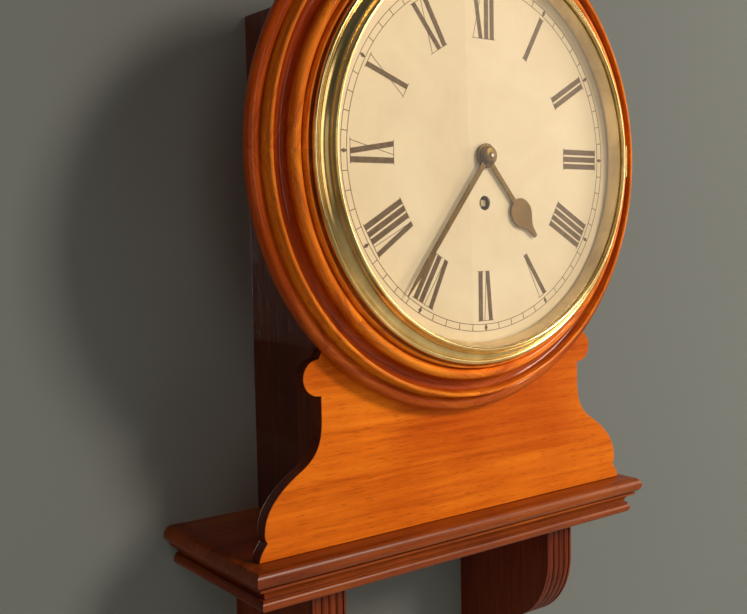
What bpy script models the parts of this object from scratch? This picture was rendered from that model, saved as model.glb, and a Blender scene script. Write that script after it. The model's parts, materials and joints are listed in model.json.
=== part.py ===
"""English dial wall clock on its own moulded shelf and two brackets, with its fusee movement.

Metres, +Z up. The wall is the plane y = 0, the clock faces -Y, and the hands turn about the line
x = 0, z = 0. "Depth" below is the distance from the wall towards the viewer, so y = -depth.
Angles of hands and gears are clock angles: clockwise from twelve, as the viewer sees them.
"""

from math import cos, pi, radians, sin, sqrt

import bmesh
import bpy
from mathutils import Vector
from mathutils.geometry import interpolate_bezier, tessellate_polygon

GAP = 0.0003  # between pieces that touch

# Dial and hands
DIAL_RADIUS = 0.1605
DIAL_FRONT = 0.1660
DIAL_THICK = 0.0015
MINUTE_HAND_ANGLE = radians(218)
HOUR_HAND_ANGLE = radians(139.5)
MINUTE_HAND_LENGTH = 0.141
HOUR_HAND_LENGTH = 0.088
WINDING_DROP = 0.0384  # winding arbor below the hands' axis
WINDING_HOLE = 0.006

# Turned surround and bezel
SURROUND_RADIUS = 0.212
SURROUND_BACK = 0.1373
SURROUND_BORE = 0.146
BEZEL_RADIUS = 0.171
BEZEL_SEAT = 0.1642  # depth of the rebate's floor
GLASS_RADIUS = 0.1582
GLASS_BACK, GLASS_FRONT = 0.1782, 0.1802
HINGE_X, HINGE_DEPTH = 0.1740, 0.1695  # the bezel's hinge, at three o'clock
HINGE_HALF = 0.014
HINGE_KNUCKLE = 0.0022
HINGE_LEAF_BACK = 0.156
BEZEL_PIVOT = (HINGE_X, -HINGE_DEPTH, 0)
TURNED_STEPS = 64

# Case box
BOARD = 0.012
CASE_HALF_WIDTH = 0.125
CASE_TOP = 0.128
APRON_BACK = 0.125
APRON_TOP = -0.150
BACKBOARD = 0.010
HANGER_HEIGHT = 0.085
BATTEN_BACK = 0.088
BATTEN_BOTTOM = -0.138
PEG_DEPTH = 0.107
PEG_HEIGHTS = (-0.035, 0.035)
PEG_HOLE = 0.0049
DOOR_BACK, DOOR_FRONT = 0.026, 0.105
DOOR_BOTTOM, DOOR_TOP = -0.272, -0.150
DOOR_CLEARANCE = 0.0006
DOOR_PIN_HOLE = 0.0024
DOOR_PIVOT = (CASE_HALF_WIDTH - BOARD / 2, DOOR_BACK + BOARD / 2 + DOOR_CLEARANCE)

# Shelf, its mouldings and the brackets
SHELF_TOP = -0.3057
SHELF_THICK = 0.0142
SHELF_HALF_WIDTH = 0.2175
SHELF_DEPTH = 0.156
MOULDING_HALF_WIDTH = 0.209
MOULDING_DEPTH = 0.148
MOULDING_REACH = 0.0035  # its upper edge stands out this far
MOULDING_WIDTH = 0.022
MOULDING_BOTTOM = -0.340
BRACKET_INNER = 0.1177
BRACKET_OUTER = 0.150
BRACKET_DEPTH = 0.124

# Movement: depths of the plates, gear centres and tooth counts
BACK_PLATE = (0.093, 0.096)
FRONT_PLATE = (0.143, 0.146)
GREAT_TEETH = 96
CENTRE_PINION_LEAVES = 8
CENTRE_TEETH = 84
THIRD_TEETH = 70
SMALL_PINION_LEAVES = 7
ESCAPE_TEETH = 30
CANNON_TEETH = 20
MINUTE_TEETH = 60
MINUTE_PINION_TEETH = 12
HOUR_TEETH = 48
RATCHET_TEETH = 20
THIRD_CENTRE = (0.01096, 0.02417)
ESCAPE_CENTRE = (0.0, 0.040)
PALLET_CENTRE = (0.0, 0.0612)
MOTION_CENTRE = (0.024, 0.0)
BARREL_CENTRE = (-0.051, -0.052)
ESCAPE_RADIUS = 0.015
PENDULUM_DEPTH = 0.069
BOB_DROP = 0.251  # from the suspension to the bob's centre
PLATE_LEFT, PLATE_RIGHT = -0.082, 0.052
PLATE_BOTTOM, PLATE_TOP = -0.084, 0.076
PILLARS = [(-0.074, 0.068), (0.044, 0.068), (-0.074, -0.076), (0.044, -0.076)]
DIAL_FEET = [(-0.060, 0.058), (0.040, 0.058), (0.040, -0.066), (-0.020, -0.074)]

PIVOT_ENDS = (0.0935, 0.1455)  # where the train's pivots end, in the two plates

# Tooth shapes: addendum and dedendum in modules, half widths at root and tip as shares of the pitch
WHEEL_TOOTH = (1.0, 1.6, 0.31, 0.09)
PINION_TOOTH = (0.4, 1.5, 0.20, 0.16)


def clear_scene():
    for obj in list(bpy.data.objects):
        bpy.data.objects.remove(obj, do_unlink=True)


def make_material(name, colour, roughness, metallic=0.0, alpha=1.0):
    material = bpy.data.materials.new(name)
    material.use_nodes = True
    shader = material.node_tree.nodes["Principled BSDF"]
    shader.inputs["Base Color"].default_value = (*colour, 1.0)
    shader.inputs["Roughness"].default_value = roughness
    shader.inputs["Metallic"].default_value = metallic
    shader.inputs["Alpha"].default_value = alpha
    material.diffuse_color = (*colour, alpha)
    return material


# Outlines: lists of (a, b) points in a plane


def rectangle(low_a, high_a, low_b, high_b):
    return [(low_a, low_b), (high_a, low_b), (high_a, high_b), (low_a, high_b)]


def circle(centre, radius, steps=16, start=0.0):
    angles = [start + 2 * pi * k / steps for k in range(steps)]
    return [(centre[0] + radius * sin(t), centre[1] + radius * cos(t)) for t in angles]


def arc(centre, radius_a, radius_b, start_deg, end_deg, steps):
    """Points on an ellipse's arc, by ordinary angle from the first axis, both ends included."""
    angles = [radians(start_deg + (end_deg - start_deg) * k / steps) for k in range(steps + 1)]
    return [(centre[0] + radius_a * cos(t), centre[1] + radius_b * sin(t)) for t in angles]


def bezier(start, start_handle, end_handle, end, steps):
    points = interpolate_bezier(
        Vector((*start, 0)), Vector((*start_handle, 0)), Vector((*end_handle, 0)), Vector((*end, 0)), steps + 1
    )
    return [(p.x, p.y) for p in points]


def mirrored(points):
    """The same points on the other side of x = 0, in the order that closes an outline."""
    return [(-a, b) for a, b in reversed(points)]


def along_hand(points, angle):
    """Turns (half width, distance from the axis) points into an outline pointing at a clock angle."""
    return [(s * sin(angle) + w * cos(angle), s * cos(angle) - w * sin(angle)) for w, s in points]


def toothed(teeth, pitch_radius, tooth, centre, phase):
    """Outline of a wheel or pinion with one tooth's middle at the clock angle phase."""
    addendum, dedendum, root_share, tip_share = tooth
    module = 2 * pitch_radius / teeth
    root = pitch_radius - dedendum * module
    tip = pitch_radius + addendum * module
    pitch = 2 * pi / teeth
    corners = [(root, -root_share), (tip, -tip_share), (tip, tip_share), (root, root_share)]
    points = []
    for k in range(teeth):
        for radius, share in corners:
            angle = phase + (k + share) * pitch
            points.append((centre[0] + radius * sin(angle), centre[1] + radius * cos(angle)))
    return points


def escape_outline():
    """Thirty slender teeth that lean forwards, each with a steep front and a sloping back."""
    pitch = 2 * pi / ESCAPE_TEETH
    root = ESCAPE_RADIUS - 0.0032
    corners = [(root, 0.0), (ESCAPE_RADIUS, 0.30), (ESCAPE_RADIUS, 0.38), (root, 0.62)]
    points = []
    for k in range(ESCAPE_TEETH):
        for radius, share in corners:
            angle = (k + share) * pitch
            points.append((ESCAPE_CENTRE[0] + radius * sin(angle), ESCAPE_CENTRE[1] + radius * cos(angle)))
    return points


def crossings(centre, inner, outer, count, arm=0.0016):
    """Windows between a wheel's arms, as hole outlines."""
    holes = []
    for k in range(count):
        middle = 2 * pi * (k + 0.5) / count
        half = pi / count
        far = half - arm / outer
        near = half - arm / inner
        corners = [(inner, -near), (outer, -far), (outer, -far / 3)]
        corners += [(outer, far / 3), (outer, far), (inner, near)]
        holes.append(
            [(centre[0] + r * sin(middle + t), centre[1] + r * cos(middle + t)) for r, t in corners]
        )
    return holes


# Solids


def at(along, a, b, position):
    """World point for an outline point and a position along the extrusion axis."""
    if along == "Y":
        return (a, -position, b)
    if along == "X":
        return (position, -a, b)
    return (a, -b, position)


def finish(name, bm, material, pivot):
    """Makes the object, with its origin at pivot, its faces out and its round sides smooth."""
    bmesh.ops.recalc_face_normals(bm, faces=bm.faces)
    bmesh.ops.translate(bm, verts=bm.verts, vec=-Vector(pivot))
    mesh = bpy.data.meshes.new(name)
    bm.to_mesh(mesh)
    bm.free()
    mesh.materials.append(material)
    mesh.shade_smooth()
    mesh.set_sharp_from_angle(angle=radians(32))
    obj = bpy.data.objects.new(name, mesh)
    obj.location = pivot
    bpy.context.scene.collection.objects.link(obj)
    return obj


def prism(name, material, outer, low, high, along="Y", holes=(), pivot=(0, 0, 0)):
    """Extrudes an outline with holes. It holds (x, z) along Y, (depth, z) along X, or (x, depth) along Z."""
    bm = bmesh.new()
    loops = [outer, *holes]
    ends = []
    for position in (low, high):
        ends.append([[bm.verts.new(at(along, a, b, position)) for a, b in loop] for loop in loops])
    for bottom, top in zip(*ends):
        for k in range(len(bottom)):
            following = (k + 1) % len(bottom)
            bm.faces.new((bottom[k], bottom[following], top[following], top[k]))
    triangles = tessellate_polygon([[Vector((a, b, 0)) for a, b in loop] for loop in loops])
    for end in ends:
        flat = [vert for loop in end for vert in loop]
        for triangle in triangles:
            bm.faces.new([flat[k] for k in triangle])
    return finish(name, bm, material, pivot)


def turned(name, material, profile, centre=(0, 0), along="Y", steps=TURNED_STEPS, pivot=(0, 0, 0)):
    """Turns a closed profile of (radius, position) about an axis. A point of radius 0 becomes a pole."""
    bm = bmesh.new()
    rings = []
    for radius, position in profile:
        if radius == 0:
            rings.append([bm.verts.new(at(along, *centre, position))] * steps)
            continue
        ring = circle(centre, radius, steps)
        rings.append([bm.verts.new(at(along, a, b, position)) for a, b in ring])
    for k in range(len(rings)):
        near, far = rings[k], rings[(k + 1) % len(rings)]
        for j in range(steps):
            following = (j + 1) % steps
            corners = [near[j], near[following], far[following], far[j]]
            corners = list(dict.fromkeys(corners))
            if len(corners) > 2:
                bm.faces.new(corners)
    return finish(name, bm, material, pivot)


def rod(name, material, radius, low, high, centre=(0, 0), along="Y", steps=16, pivot=(0, 0, 0)):
    return prism(name, material, circle(centre, radius, steps), low, high, along, pivot=pivot)


def boolean(target, operation, *helpers):
    """Joins helpers to the target, or cuts them from it. The helpers themselves are left out of the clock."""
    for helper in helpers:
        helper.hide_render = True
        helper.display_type = "WIRE"
        modifier = target.modifiers.new(helper.name, "BOOLEAN")
        modifier.operation = operation
        modifier.solver = "EXACT"
        modifier.object = helper
    return target


def stepped_slab(name, material, sections):
    """A slab with a moulded front and ends and a flat back on the wall: (half width, depth, z) sections."""
    bm = bmesh.new()
    loops = []
    for half_width, depth, z in sections:
        corners = rectangle(-half_width, half_width, 0, depth)
        loops.append([bm.verts.new(at("Z", x, d, z)) for x, d in corners])
    for near, far in zip(loops, loops[1:]):
        for k in range(4):
            following = (k + 1) % 4
            bm.faces.new((near[k], near[following], far[following], far[k]))
    bm.faces.new(loops[0])
    bm.faces.new(loops[-1])
    return finish(name, bm, material, (0, 0, 0))


# Case, surround and apron


def case_side(name, wood, side):
    """A side board: it reaches the surround's back above the apron, and stops at the apron below."""
    outline = [
        (0, SHELF_TOP + GAP),
        (APRON_BACK - GAP, SHELF_TOP + GAP),
        (APRON_BACK - GAP, APRON_TOP + GAP),
        (SURROUND_BACK - GAP, APRON_TOP + GAP),
        (SURROUND_BACK - GAP, CASE_TOP),
        (0, CASE_TOP),
    ]
    holes = [circle((PEG_DEPTH, z), PEG_HOLE) for z in PEG_HEIGHTS]
    if side > 0:
        holes.append(rectangle(DOOR_BACK, DOOR_FRONT, DOOR_BOTTOM, DOOR_TOP))
    low, high = sorted((side * (CASE_HALF_WIDTH - BOARD), side * CASE_HALF_WIDTH))
    board = prism(name, wood, outline, low, high, "X", holes)
    if side > 0:
        bottom, top = DOOR_BOTTOM - 0.006, DOOR_TOP + 0.006
        boolean(board, "DIFFERENCE", rod("door_sockets", wood, DOOR_PIN_HOLE, bottom, top, DOOR_PIVOT, "Z"))
    return board


def make_case(wood, brass):
    inner = CASE_HALF_WIDTH - BOARD - GAP
    floor_top = SHELF_TOP + GAP + BOARD
    case_side("case_side_left", wood, -1)
    case_side("case_side_right", wood, 1)
    prism("case_top", wood, rectangle(-inner, inner, 0, SURROUND_BACK - GAP), CASE_TOP - BOARD, CASE_TOP, "Z")
    prism("case_bottom", wood, rectangle(-inner, inner, 0, APRON_BACK - GAP), SHELF_TOP + GAP, floor_top, "Z")

    backboard = prism(
        "case_back",
        wood,
        rectangle(-inner, inner, floor_top + GAP, CASE_TOP - BOARD - GAP),
        0,
        BACKBOARD,
        holes=[rectangle(-0.013, 0.013, HANGER_HEIGHT - 0.015, HANGER_HEIGHT + 0.020)],
    )
    recess = rectangle(-0.0263, 0.0263, HANGER_HEIGHT - 0.0263, HANGER_HEIGHT + 0.0283)
    boolean(backboard, "DIFFERENCE", prism("hanger_recess", wood, recess, -0.001, 0.0018))

    keyhole = arc((0, HANGER_HEIGHT - 0.006), 0.006, 0.006, 120, 420, 14)
    keyhole += arc((0, HANGER_HEIGHT + 0.012), 0.003, 0.003, 0, 180, 6)
    plate = rectangle(-0.026, 0.026, HANGER_HEIGHT - 0.026, HANGER_HEIGHT + 0.028)
    prism("hanging_plate", brass, plate, 0, 0.0015, holes=[keyhole])


def make_side_door(wood, brass):
    pivot = (DOOR_PIVOT[0], -DOOR_PIVOT[1], (DOOR_BOTTOM + DOOR_TOP) / 2)
    half = BOARD / 2
    front = DOOR_FRONT - DOOR_CLEARANCE
    outline = [(DOOR_PIVOT[0] + half, front), (DOOR_PIVOT[0] - half, front)]
    outline += arc(DOOR_PIVOT, half, half, 180, 360, 10)
    bottom, top = DOOR_BOTTOM + DOOR_CLEARANCE, DOOR_TOP - DOOR_CLEARANCE
    door = prism("side_door", wood, outline, bottom, top, "Z", pivot=pivot)
    pins = rod("door_pins", brass, 0.002, bottom - 0.004, top + 0.004, DOOR_PIVOT, "Z", pivot=pivot)
    boolean(door, "UNION", pins)
    centre = (DOOR_FRONT - 0.012, pivot[2])
    inside, outside = CASE_HALF_WIDTH - BOARD - 0.0006, CASE_HALF_WIDTH + 0.0006
    boolean(door, "DIFFERENCE", rod("spindle_hole", wood, DOOR_PIN_HOLE, 0.10, 0.14, centre, "X", 12, pivot))

    knob_pivot = (CASE_HALF_WIDTH, -centre[0], centre[1])
    profile = [(0, inside - 0.0030), (0.0018, inside - 0.0030), (0.0018, outside), (0.0032, outside)]
    profile += [(0.0030, outside + 0.004), (0.0062, outside + 0.007)]
    profile += [(0.0058, outside + 0.010), (0, outside + 0.012)]
    knob = turned("side_door_catch", brass, profile, centre, "X", 16, knob_pivot)
    tongue = rectangle(centre[0] - 0.0035, centre[0] + 0.0035, centre[1] - 0.0180, centre[1] + 0.0035)
    boolean(knob, "UNION", prism("tongue", brass, tongue, inside - 0.0022, inside, "X", pivot=knob_pivot))


def make_battens(wood):
    """Cheeks behind the surround, inside the case sides, each held by two tapered pegs."""
    outer = CASE_HALF_WIDTH - BOARD - GAP
    for name, side in (("left", -1), ("right", 1)):
        low, high = sorted((side * (outer - BOARD), side * outer))
        holes = [circle((PEG_DEPTH, z), PEG_HOLE) for z in PEG_HEIGHTS]
        outline = rectangle(BATTEN_BACK, SURROUND_BACK - GAP, BATTEN_BOTTOM, CASE_TOP - BOARD - GAP)
        prism(f"batten_{name}", wood, outline, low, high, "X", holes)
        for level, z in zip(("lower", "upper"), PEG_HEIGHTS):
            profile = [(0, side * 0.096), (0.0032, side * 0.096), (0.0043, side * 0.133), (0, side * 0.134)]
            turned(f"peg_{name}_{level}", wood, profile, (PEG_DEPTH, z), "X", 10)


def make_surround(wood):
    """Turned ring: rebate for the dial and bezel, small bead, inner torus, cove, ridge and outer torus."""
    profile = [(SURROUND_BORE, SURROUND_BACK), (SURROUND_BORE, BEZEL_SEAT), (0.1722, BEZEL_SEAT)]
    profile += [(0.1724, 0.1676), (0.1742, 0.1676), (0.1757, 0.1655)]
    profile += arc((0.1798, 0.1590), 0.0046, 0.0066, 120, 0, 5)
    profile += arc((0.1905, 0.1575), 0.0054, 0.0050, 190, 350, 4)
    profile += [(0.1964, 0.1587), (0.1992, 0.1580), (0.2006, 0.1510)]
    profile += arc((SURROUND_RADIUS - 0.0068, 0.1435), 0.0068, 0.0064, 120, -25, 5)
    profile += [(SURROUND_RADIUS - 0.0022, SURROUND_BACK)]
    ring = turned("surround_ring", wood, profile)
    pocket = rectangle(0.170, 0.1768, -HINGE_HALF - 0.0012, HINGE_HALF + 0.0012)
    boolean(ring, "DIFFERENCE", prism("hinge_pocket", wood, pocket, HINGE_LEAF_BACK - 0.001, 0.180))


def apron_edge():
    """Right-hand edge of the apron, from the shelf up to the hidden top: cusp, flare, neck and round ear."""
    base = SHELF_TOP + GAP
    points = bezier((0.2045, base), (0.2030, -0.2985), (0.2000, -0.2960), (0.1970, -0.2915), 3)
    points += bezier((0.1990, -0.2865), (0.1995, -0.2680), (0.1860, -0.2540), (0.1650, -0.2415), 7)
    points += bezier((0.1650, -0.2415), (0.1520, -0.2335), (0.1458, -0.2240), (0.1458, -0.2030), 6)[1:]
    points += [(0.1458, -0.1860)]
    points += arc((0.1475, -0.1715), 0.0145, 0.0145, -90, 90, 10)
    points += [(0.1440, APRON_TOP)]
    return points


def make_apron(wood):
    right = apron_edge()
    prism("apron_board", wood, right + mirrored(right), APRON_BACK, SURROUND_BACK - 2 * GAP)


# Shelf and brackets


def make_shelf(wood):
    nose = SHELF_THICK / 2
    middle = SHELF_TOP - nose
    sections = []
    for out, rise in arc((0, 0), nose, nose, 90, -90, 8):
        sections.append((SHELF_HALF_WIDTH - nose + out, SHELF_DEPTH - nose + out, middle + rise))
    stepped_slab("shelf_board", wood, sections)


def moulding_profile():
    """Section under the shelf as (offset from the face, z): fillet, cove, fillet, ovolo, and a flat back."""
    top = SHELF_TOP - SHELF_THICK - GAP
    points = [(-MOULDING_WIDTH, top), (MOULDING_REACH, top), (MOULDING_REACH, top - 0.0020)]
    points += arc((MOULDING_REACH, top - 0.0100), 0.0075, 0.0080, 90, 180, 5)
    points += [(-0.0012, top - 0.0104)]
    points += arc((-0.0040, MOULDING_BOTTOM + 0.0045), 0.0040, 0.0045, 45, -90, 5)
    points += [(-MOULDING_WIDTH, MOULDING_BOTTOM)]
    return points


def mitred_strip(name, wood, ends):
    """A moulding whose two end sections are given by a function from (offset, z) to a world point."""
    bm = bmesh.new()
    profile = moulding_profile()
    loops = [[bm.verts.new(end(offset, z)) for offset, z in profile] for end in ends]
    for k in range(len(profile)):
        following = (k + 1) % len(profile)
        bm.faces.new((loops[0][k], loops[0][following], loops[1][following], loops[1][k]))
    triangles = tessellate_polygon([[Vector((offset, z, 0)) for offset, z in profile]])
    for loop in loops:
        for triangle in triangles:
            bm.faces.new([loop[k] for k in triangle])
    return finish(name, bm, wood, (0, 0, 0))


def make_mouldings(wood):
    def corner(side, gap=0):
        return lambda offset, z: (side * (MOULDING_HALF_WIDTH + offset), -(MOULDING_DEPTH + offset - gap), z)

    def wall_end(side):
        return lambda offset, z: (side * (MOULDING_HALF_WIDTH + offset), 0, z)

    mitred_strip("shelf_moulding_front", wood, (corner(-1), corner(1)))
    mitred_strip("shelf_moulding_left", wood, (corner(-1, 2 * GAP), wall_end(-1)))
    mitred_strip("shelf_moulding_right", wood, (corner(1, 2 * GAP), wall_end(1)))


def bracket_outline():
    """Side view as (depth, z): straight front, quarter-round foot, step, hollow tail and small toe."""
    top = SHELF_TOP - SHELF_THICK - GAP
    points = [(0, top), (BRACKET_DEPTH, top), (BRACKET_DEPTH, -0.378)]
    points += arc((0.054, -0.378), 0.070, 0.0705, -9, -90, 9)
    points += [(0.054, -0.460)]
    points += bezier((0.054, -0.460), (0.053, -0.494), (0.028, -0.488), (0.024, -0.518), 7)[1:]
    points += arc((0.010, -0.522), 0.014, 0.016, 5, -90, 5)
    points += [(0, -0.538)]
    return points


def make_brackets(wood):
    for name, side in (("left", -1), ("right", 1)):
        low, high = sorted((side * BRACKET_INNER, side * BRACKET_OUTER))
        prism(f"bracket_{name}", wood, bracket_outline(), low, high, "X")


# Bezel, glass and hinge


def make_bezel(brass, glass, steel):
    outer = BEZEL_RADIUS
    profile = [(0.1616, 0.1649), (0.1616, 0.1667), (0.1586, 0.1667), (0.1586, GLASS_FRONT + GAP)]
    profile += [(0.1564, GLASS_FRONT + GAP), (0.1568, 0.1823), (0.1580, 0.1829), (0.1596, 0.1820)]
    profile += bezier((0.1600, 0.1805), (0.1605, 0.1765), (0.1625, 0.1738), (0.1658, 0.1727), 3)
    profile += arc((outer - 0.0022, 0.1712), 0.0022, 0.0022, 120, 0, 3)
    profile += [(outer, 0.1649)]
    turned("bezel", brass, profile, pivot=BEZEL_PIVOT)
    turned(
        "bezel_glass",
        glass,
        [(0, GLASS_BACK), (GLASS_RADIUS, GLASS_BACK), (GLASS_RADIUS, GLASS_FRONT), (0, GLASS_FRONT)],
        steps=48,
        pivot=BEZEL_PIVOT,
    )
    sight_front = GLASS_BACK - GAP
    turned(
        "sight_ring",
        brass,
        [(0.1528, 0.1670), (GLASS_RADIUS, 0.1670), (GLASS_RADIUS, sight_front), (0.1562, sight_front)],
        steps=48,
        pivot=BEZEL_PIVOT,
    )

    axis = (HINGE_X, HINGE_DEPTH)
    bore = circle(axis, 0.0011, 12)
    knuckle = circle(axis, HINGE_KNUCKLE, 12)
    third = HINGE_HALF / 3
    wood_leaf = prism(
        "bezel_hinge_fixed_leaf",
        brass,
        rectangle(0.1752, 0.1764, HINGE_LEAF_BACK, HINGE_DEPTH + 0.0008),
        -HINGE_HALF,
        HINGE_HALF,
        "Z",
    )
    middle_gap = rectangle(0.171, 0.1775, HINGE_DEPTH - 0.0032, 0.175)
    boolean(wood_leaf, "DIFFERENCE", prism("hinge_gap", brass, middle_gap, -third - GAP, third + GAP, "Z"))
    for label, low, high in (("a", -HINGE_HALF, -third - GAP), ("b", third + GAP, HINGE_HALF)):
        boolean(wood_leaf, "UNION", prism(f"hinge_knuckle_{label}", brass, knuckle, low, high, "Z"))
    boolean(wood_leaf, "DIFFERENCE", prism("hinge_bore", brass, bore, -0.02, 0.02, "Z"))

    moving_leaf = prism(
        "bezel_hinge_moving_leaf",
        brass,
        rectangle(0.1713, 0.1721, 0.1662, HINGE_DEPTH + 0.0010),
        -third,
        third,
        "Z",
        pivot=BEZEL_PIVOT,
    )
    middle = prism("hinge_knuckle_c", brass, knuckle, -third, third, "Z", pivot=BEZEL_PIVOT)
    boolean(moving_leaf, "UNION", middle)
    pin_hole = prism("hinge_bore_c", brass, bore, -0.02, 0.02, "Z", pivot=BEZEL_PIVOT)
    boolean(moving_leaf, "DIFFERENCE", pin_hole)
    rod("bezel_hinge_pin", steel, 0.0008, -HINGE_HALF - 0.001, HINGE_HALF + 0.001, axis, "Z", 10)


# Dial and hands


def make_dial(paint):
    holes = [circle((0, 0), 0.0066, 20), circle((0, -WINDING_DROP), WINDING_HOLE, 20)]
    back = DIAL_FRONT - DIAL_THICK
    dial = prism("dial", paint, circle((0, 0), DIAL_RADIUS, TURNED_STEPS), back, DIAL_FRONT, holes=holes)
    for k, foot in enumerate(DIAL_FEET):
        foot_low = FRONT_PLATE[1] + GAP
        boolean(dial, "UNION", rod(f"dial_foot_{k}", paint, 0.0035, foot_low, back + 0.0005, foot, steps=10))


def hour_hand_outline():
    """Spade hand: straight stem, rounded spade, slender blunt tip."""
    right = [(0.0023, 0.008), (0.0022, 0.0488)]
    right += bezier((0.0034, 0.0497), (0.0088, 0.0503), (0.0115, 0.0560), (0.0115, 0.0622), 5)
    right += bezier((0.0115, 0.0622), (0.0114, 0.0705), (0.0050, 0.0722), (0.0029, 0.0805), 5)[1:]
    right += [(0.0019, HOUR_HAND_LENGTH)]
    return along_hand(right + mirrored(right), HOUR_HAND_ANGLE)


def minute_hand_outline():
    right = [(0.0024, 0.006), (0.0021, 0.110), (0.0015, 0.130), (0.0005, MINUTE_HAND_LENGTH)]
    return along_hand(right + mirrored(right), MINUTE_HAND_ANGLE)


def make_hands(bronze):
    hour = turned(
        "hour_hand",
        bronze,
        [(0.0046, 0.1673), (0.0100, 0.1673), (0.0100, 0.1690), (0.0090, 0.1698), (0.0046, 0.1698)],
        steps=24,
    )
    boolean(hour, "UNION", prism("hour_blade", bronze, hour_hand_outline(), 0.1680, 0.1688))
    minute = turned(
        "minute_hand",
        bronze,
        [(0.0031, 0.1702), (0.0084, 0.1702), (0.0084, 0.1714), (0.0076, 0.1720), (0.0031, 0.1720)],
        steps=24,
    )
    boolean(minute, "UNION", prism("minute_blade", bronze, minute_hand_outline(), 0.1706, 0.1714))
    dome = [(0.0021, 0.1723), (0.0075, 0.1723), (0.0072, 0.1732), (0.0056, 0.1743)]
    dome += [(0.0030, 0.1749), (0.0021, 0.1749)]
    turned("hand_collet", bronze, dome, steps=20)


# Movement


def make_plates(brass, steel):
    pivots = [(0, 0), THIRD_CENTRE, ESCAPE_CENTRE]
    outline = rectangle(PLATE_LEFT, PLATE_RIGHT, PLATE_BOTTOM, PLATE_TOP)
    small = [circle(centre, 0.0012, 8) for centre in pivots[1:]]
    back_holes = small + [circle((0, 0), 0.0012, 8), circle(PALLET_CENTRE, 0.0045, 10)]
    back_holes += [circle((0, -WINDING_DROP), 0.0024, 10), circle(BARREL_CENTRE, 0.0034, 10)]
    prism("back_plate", brass, outline, *BACK_PLATE, holes=back_holes)
    front_holes = small + [circle((0, 0), 0.0024, 10), circle(PALLET_CENTRE, 0.0012, 8)]
    front_holes += [circle((0, -WINDING_DROP), 0.0040, 12), circle(BARREL_CENTRE, 0.0044, 12)]
    prism("front_plate", brass, outline, *FRONT_PLATE, holes=front_holes)
    low, high = BACK_PLATE[1] + GAP, FRONT_PLATE[0] - GAP
    for k, centre in enumerate(PILLARS):
        neck, belly = 0.0034, 0.0048
        profile = [(0, low), (belly, low), (belly, low + 0.004), (neck, low + 0.007), (neck, high - 0.007)]
        profile += [(belly, high - 0.004), (belly, high), (0, high)]
        turned(f"pillar_{k + 1}", brass, profile, centre, steps=10)


def arbor(name, steel, centre, radius, low, high, pivot_radius, pivot_low, pivot_high):
    """A shaft from low to high with thinner pivots running on to pivot_low and pivot_high."""
    profile = [(0, pivot_low), (pivot_radius, pivot_low), (pivot_radius, low), (radius, low)]
    profile += [(radius, high), (pivot_radius, high), (pivot_radius, pivot_high), (0, pivot_high)]
    return turned(name, steel, profile, centre, steps=10, pivot=on_axis(centre))


def on_axis(centre):
    return (centre[0], -DIAL_FRONT, centre[1])


def pitch_radii(distance, teeth, leaves):
    """Pitch radii of a wheel and the pinion it drives, from the distance between their centres."""
    return distance * teeth / (teeth + leaves), distance * leaves / (teeth + leaves)


def meshing_phase(angle, teeth):
    """Phase that puts a gap, not a tooth, towards the partner, which lies back along angle."""
    return angle + pi + pi / teeth


def clock_angle(start, end):
    """Clock angle of the direction from one centre to another."""
    return Vector((0, 1)).angle_signed(Vector((end[0] - start[0], end[1] - start[1])))


def distance(start, end):
    return sqrt((end[0] - start[0]) ** 2 + (end[1] - start[1]) ** 2)


def make_great_wheel(brass, steel):
    """Great wheel and the fusee on the winding arbor, below the centre."""
    centre = (0, -WINDING_DROP)
    radius, _ = pitch_radii(WINDING_DROP, GREAT_TEETH, CENTRE_PINION_LEAVES)
    wheel = toothed(GREAT_TEETH, radius, WHEEL_TOOTH, centre, 0.0)
    bore = circle(centre, 0.0040, 12)
    prism("great_wheel", brass, wheel, 0.0990, 0.1012, holes=[bore], pivot=on_axis(centre))

    low, high = 0.1035, 0.1365
    profile = [(0, low - 0.0015), (0.0225, low - 0.0015), (0.0225, low)]
    turns = 5
    for k in range(turns + 1):
        share = k / turns
        radius = 0.0210 - 0.0115 * share ** 0.8
        profile.append((radius, low + (high - low) * share))
        if k < turns:
            profile.append((radius - 0.0022, low + (high - low) * (share + 0.5 / turns)))
    profile += [(0.0115, high + 0.0005), (0.0115, high + 0.0020), (0, high + 0.0020)]
    fusee = turned("fusee", brass, profile, centre, steps=20, pivot=on_axis(centre))
    end, bearing, square = PIVOT_ENDS[0], 0.0965, 0.1470
    shaft = [(0, end), (0.0020, end), (0.0020, bearing), (0.0034, bearing), (0.0034, square), (0, square)]
    boolean(fusee, "UNION", turned("fusee_shaft", steel, shaft, centre, steps=12, pivot=on_axis(centre)))
    outline = circle(centre, 0.0037, 4, pi / 4)
    boolean(fusee, "UNION", prism("winding_square", steel, outline, 0.1460, 0.1638, pivot=on_axis(centre)))


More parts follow.
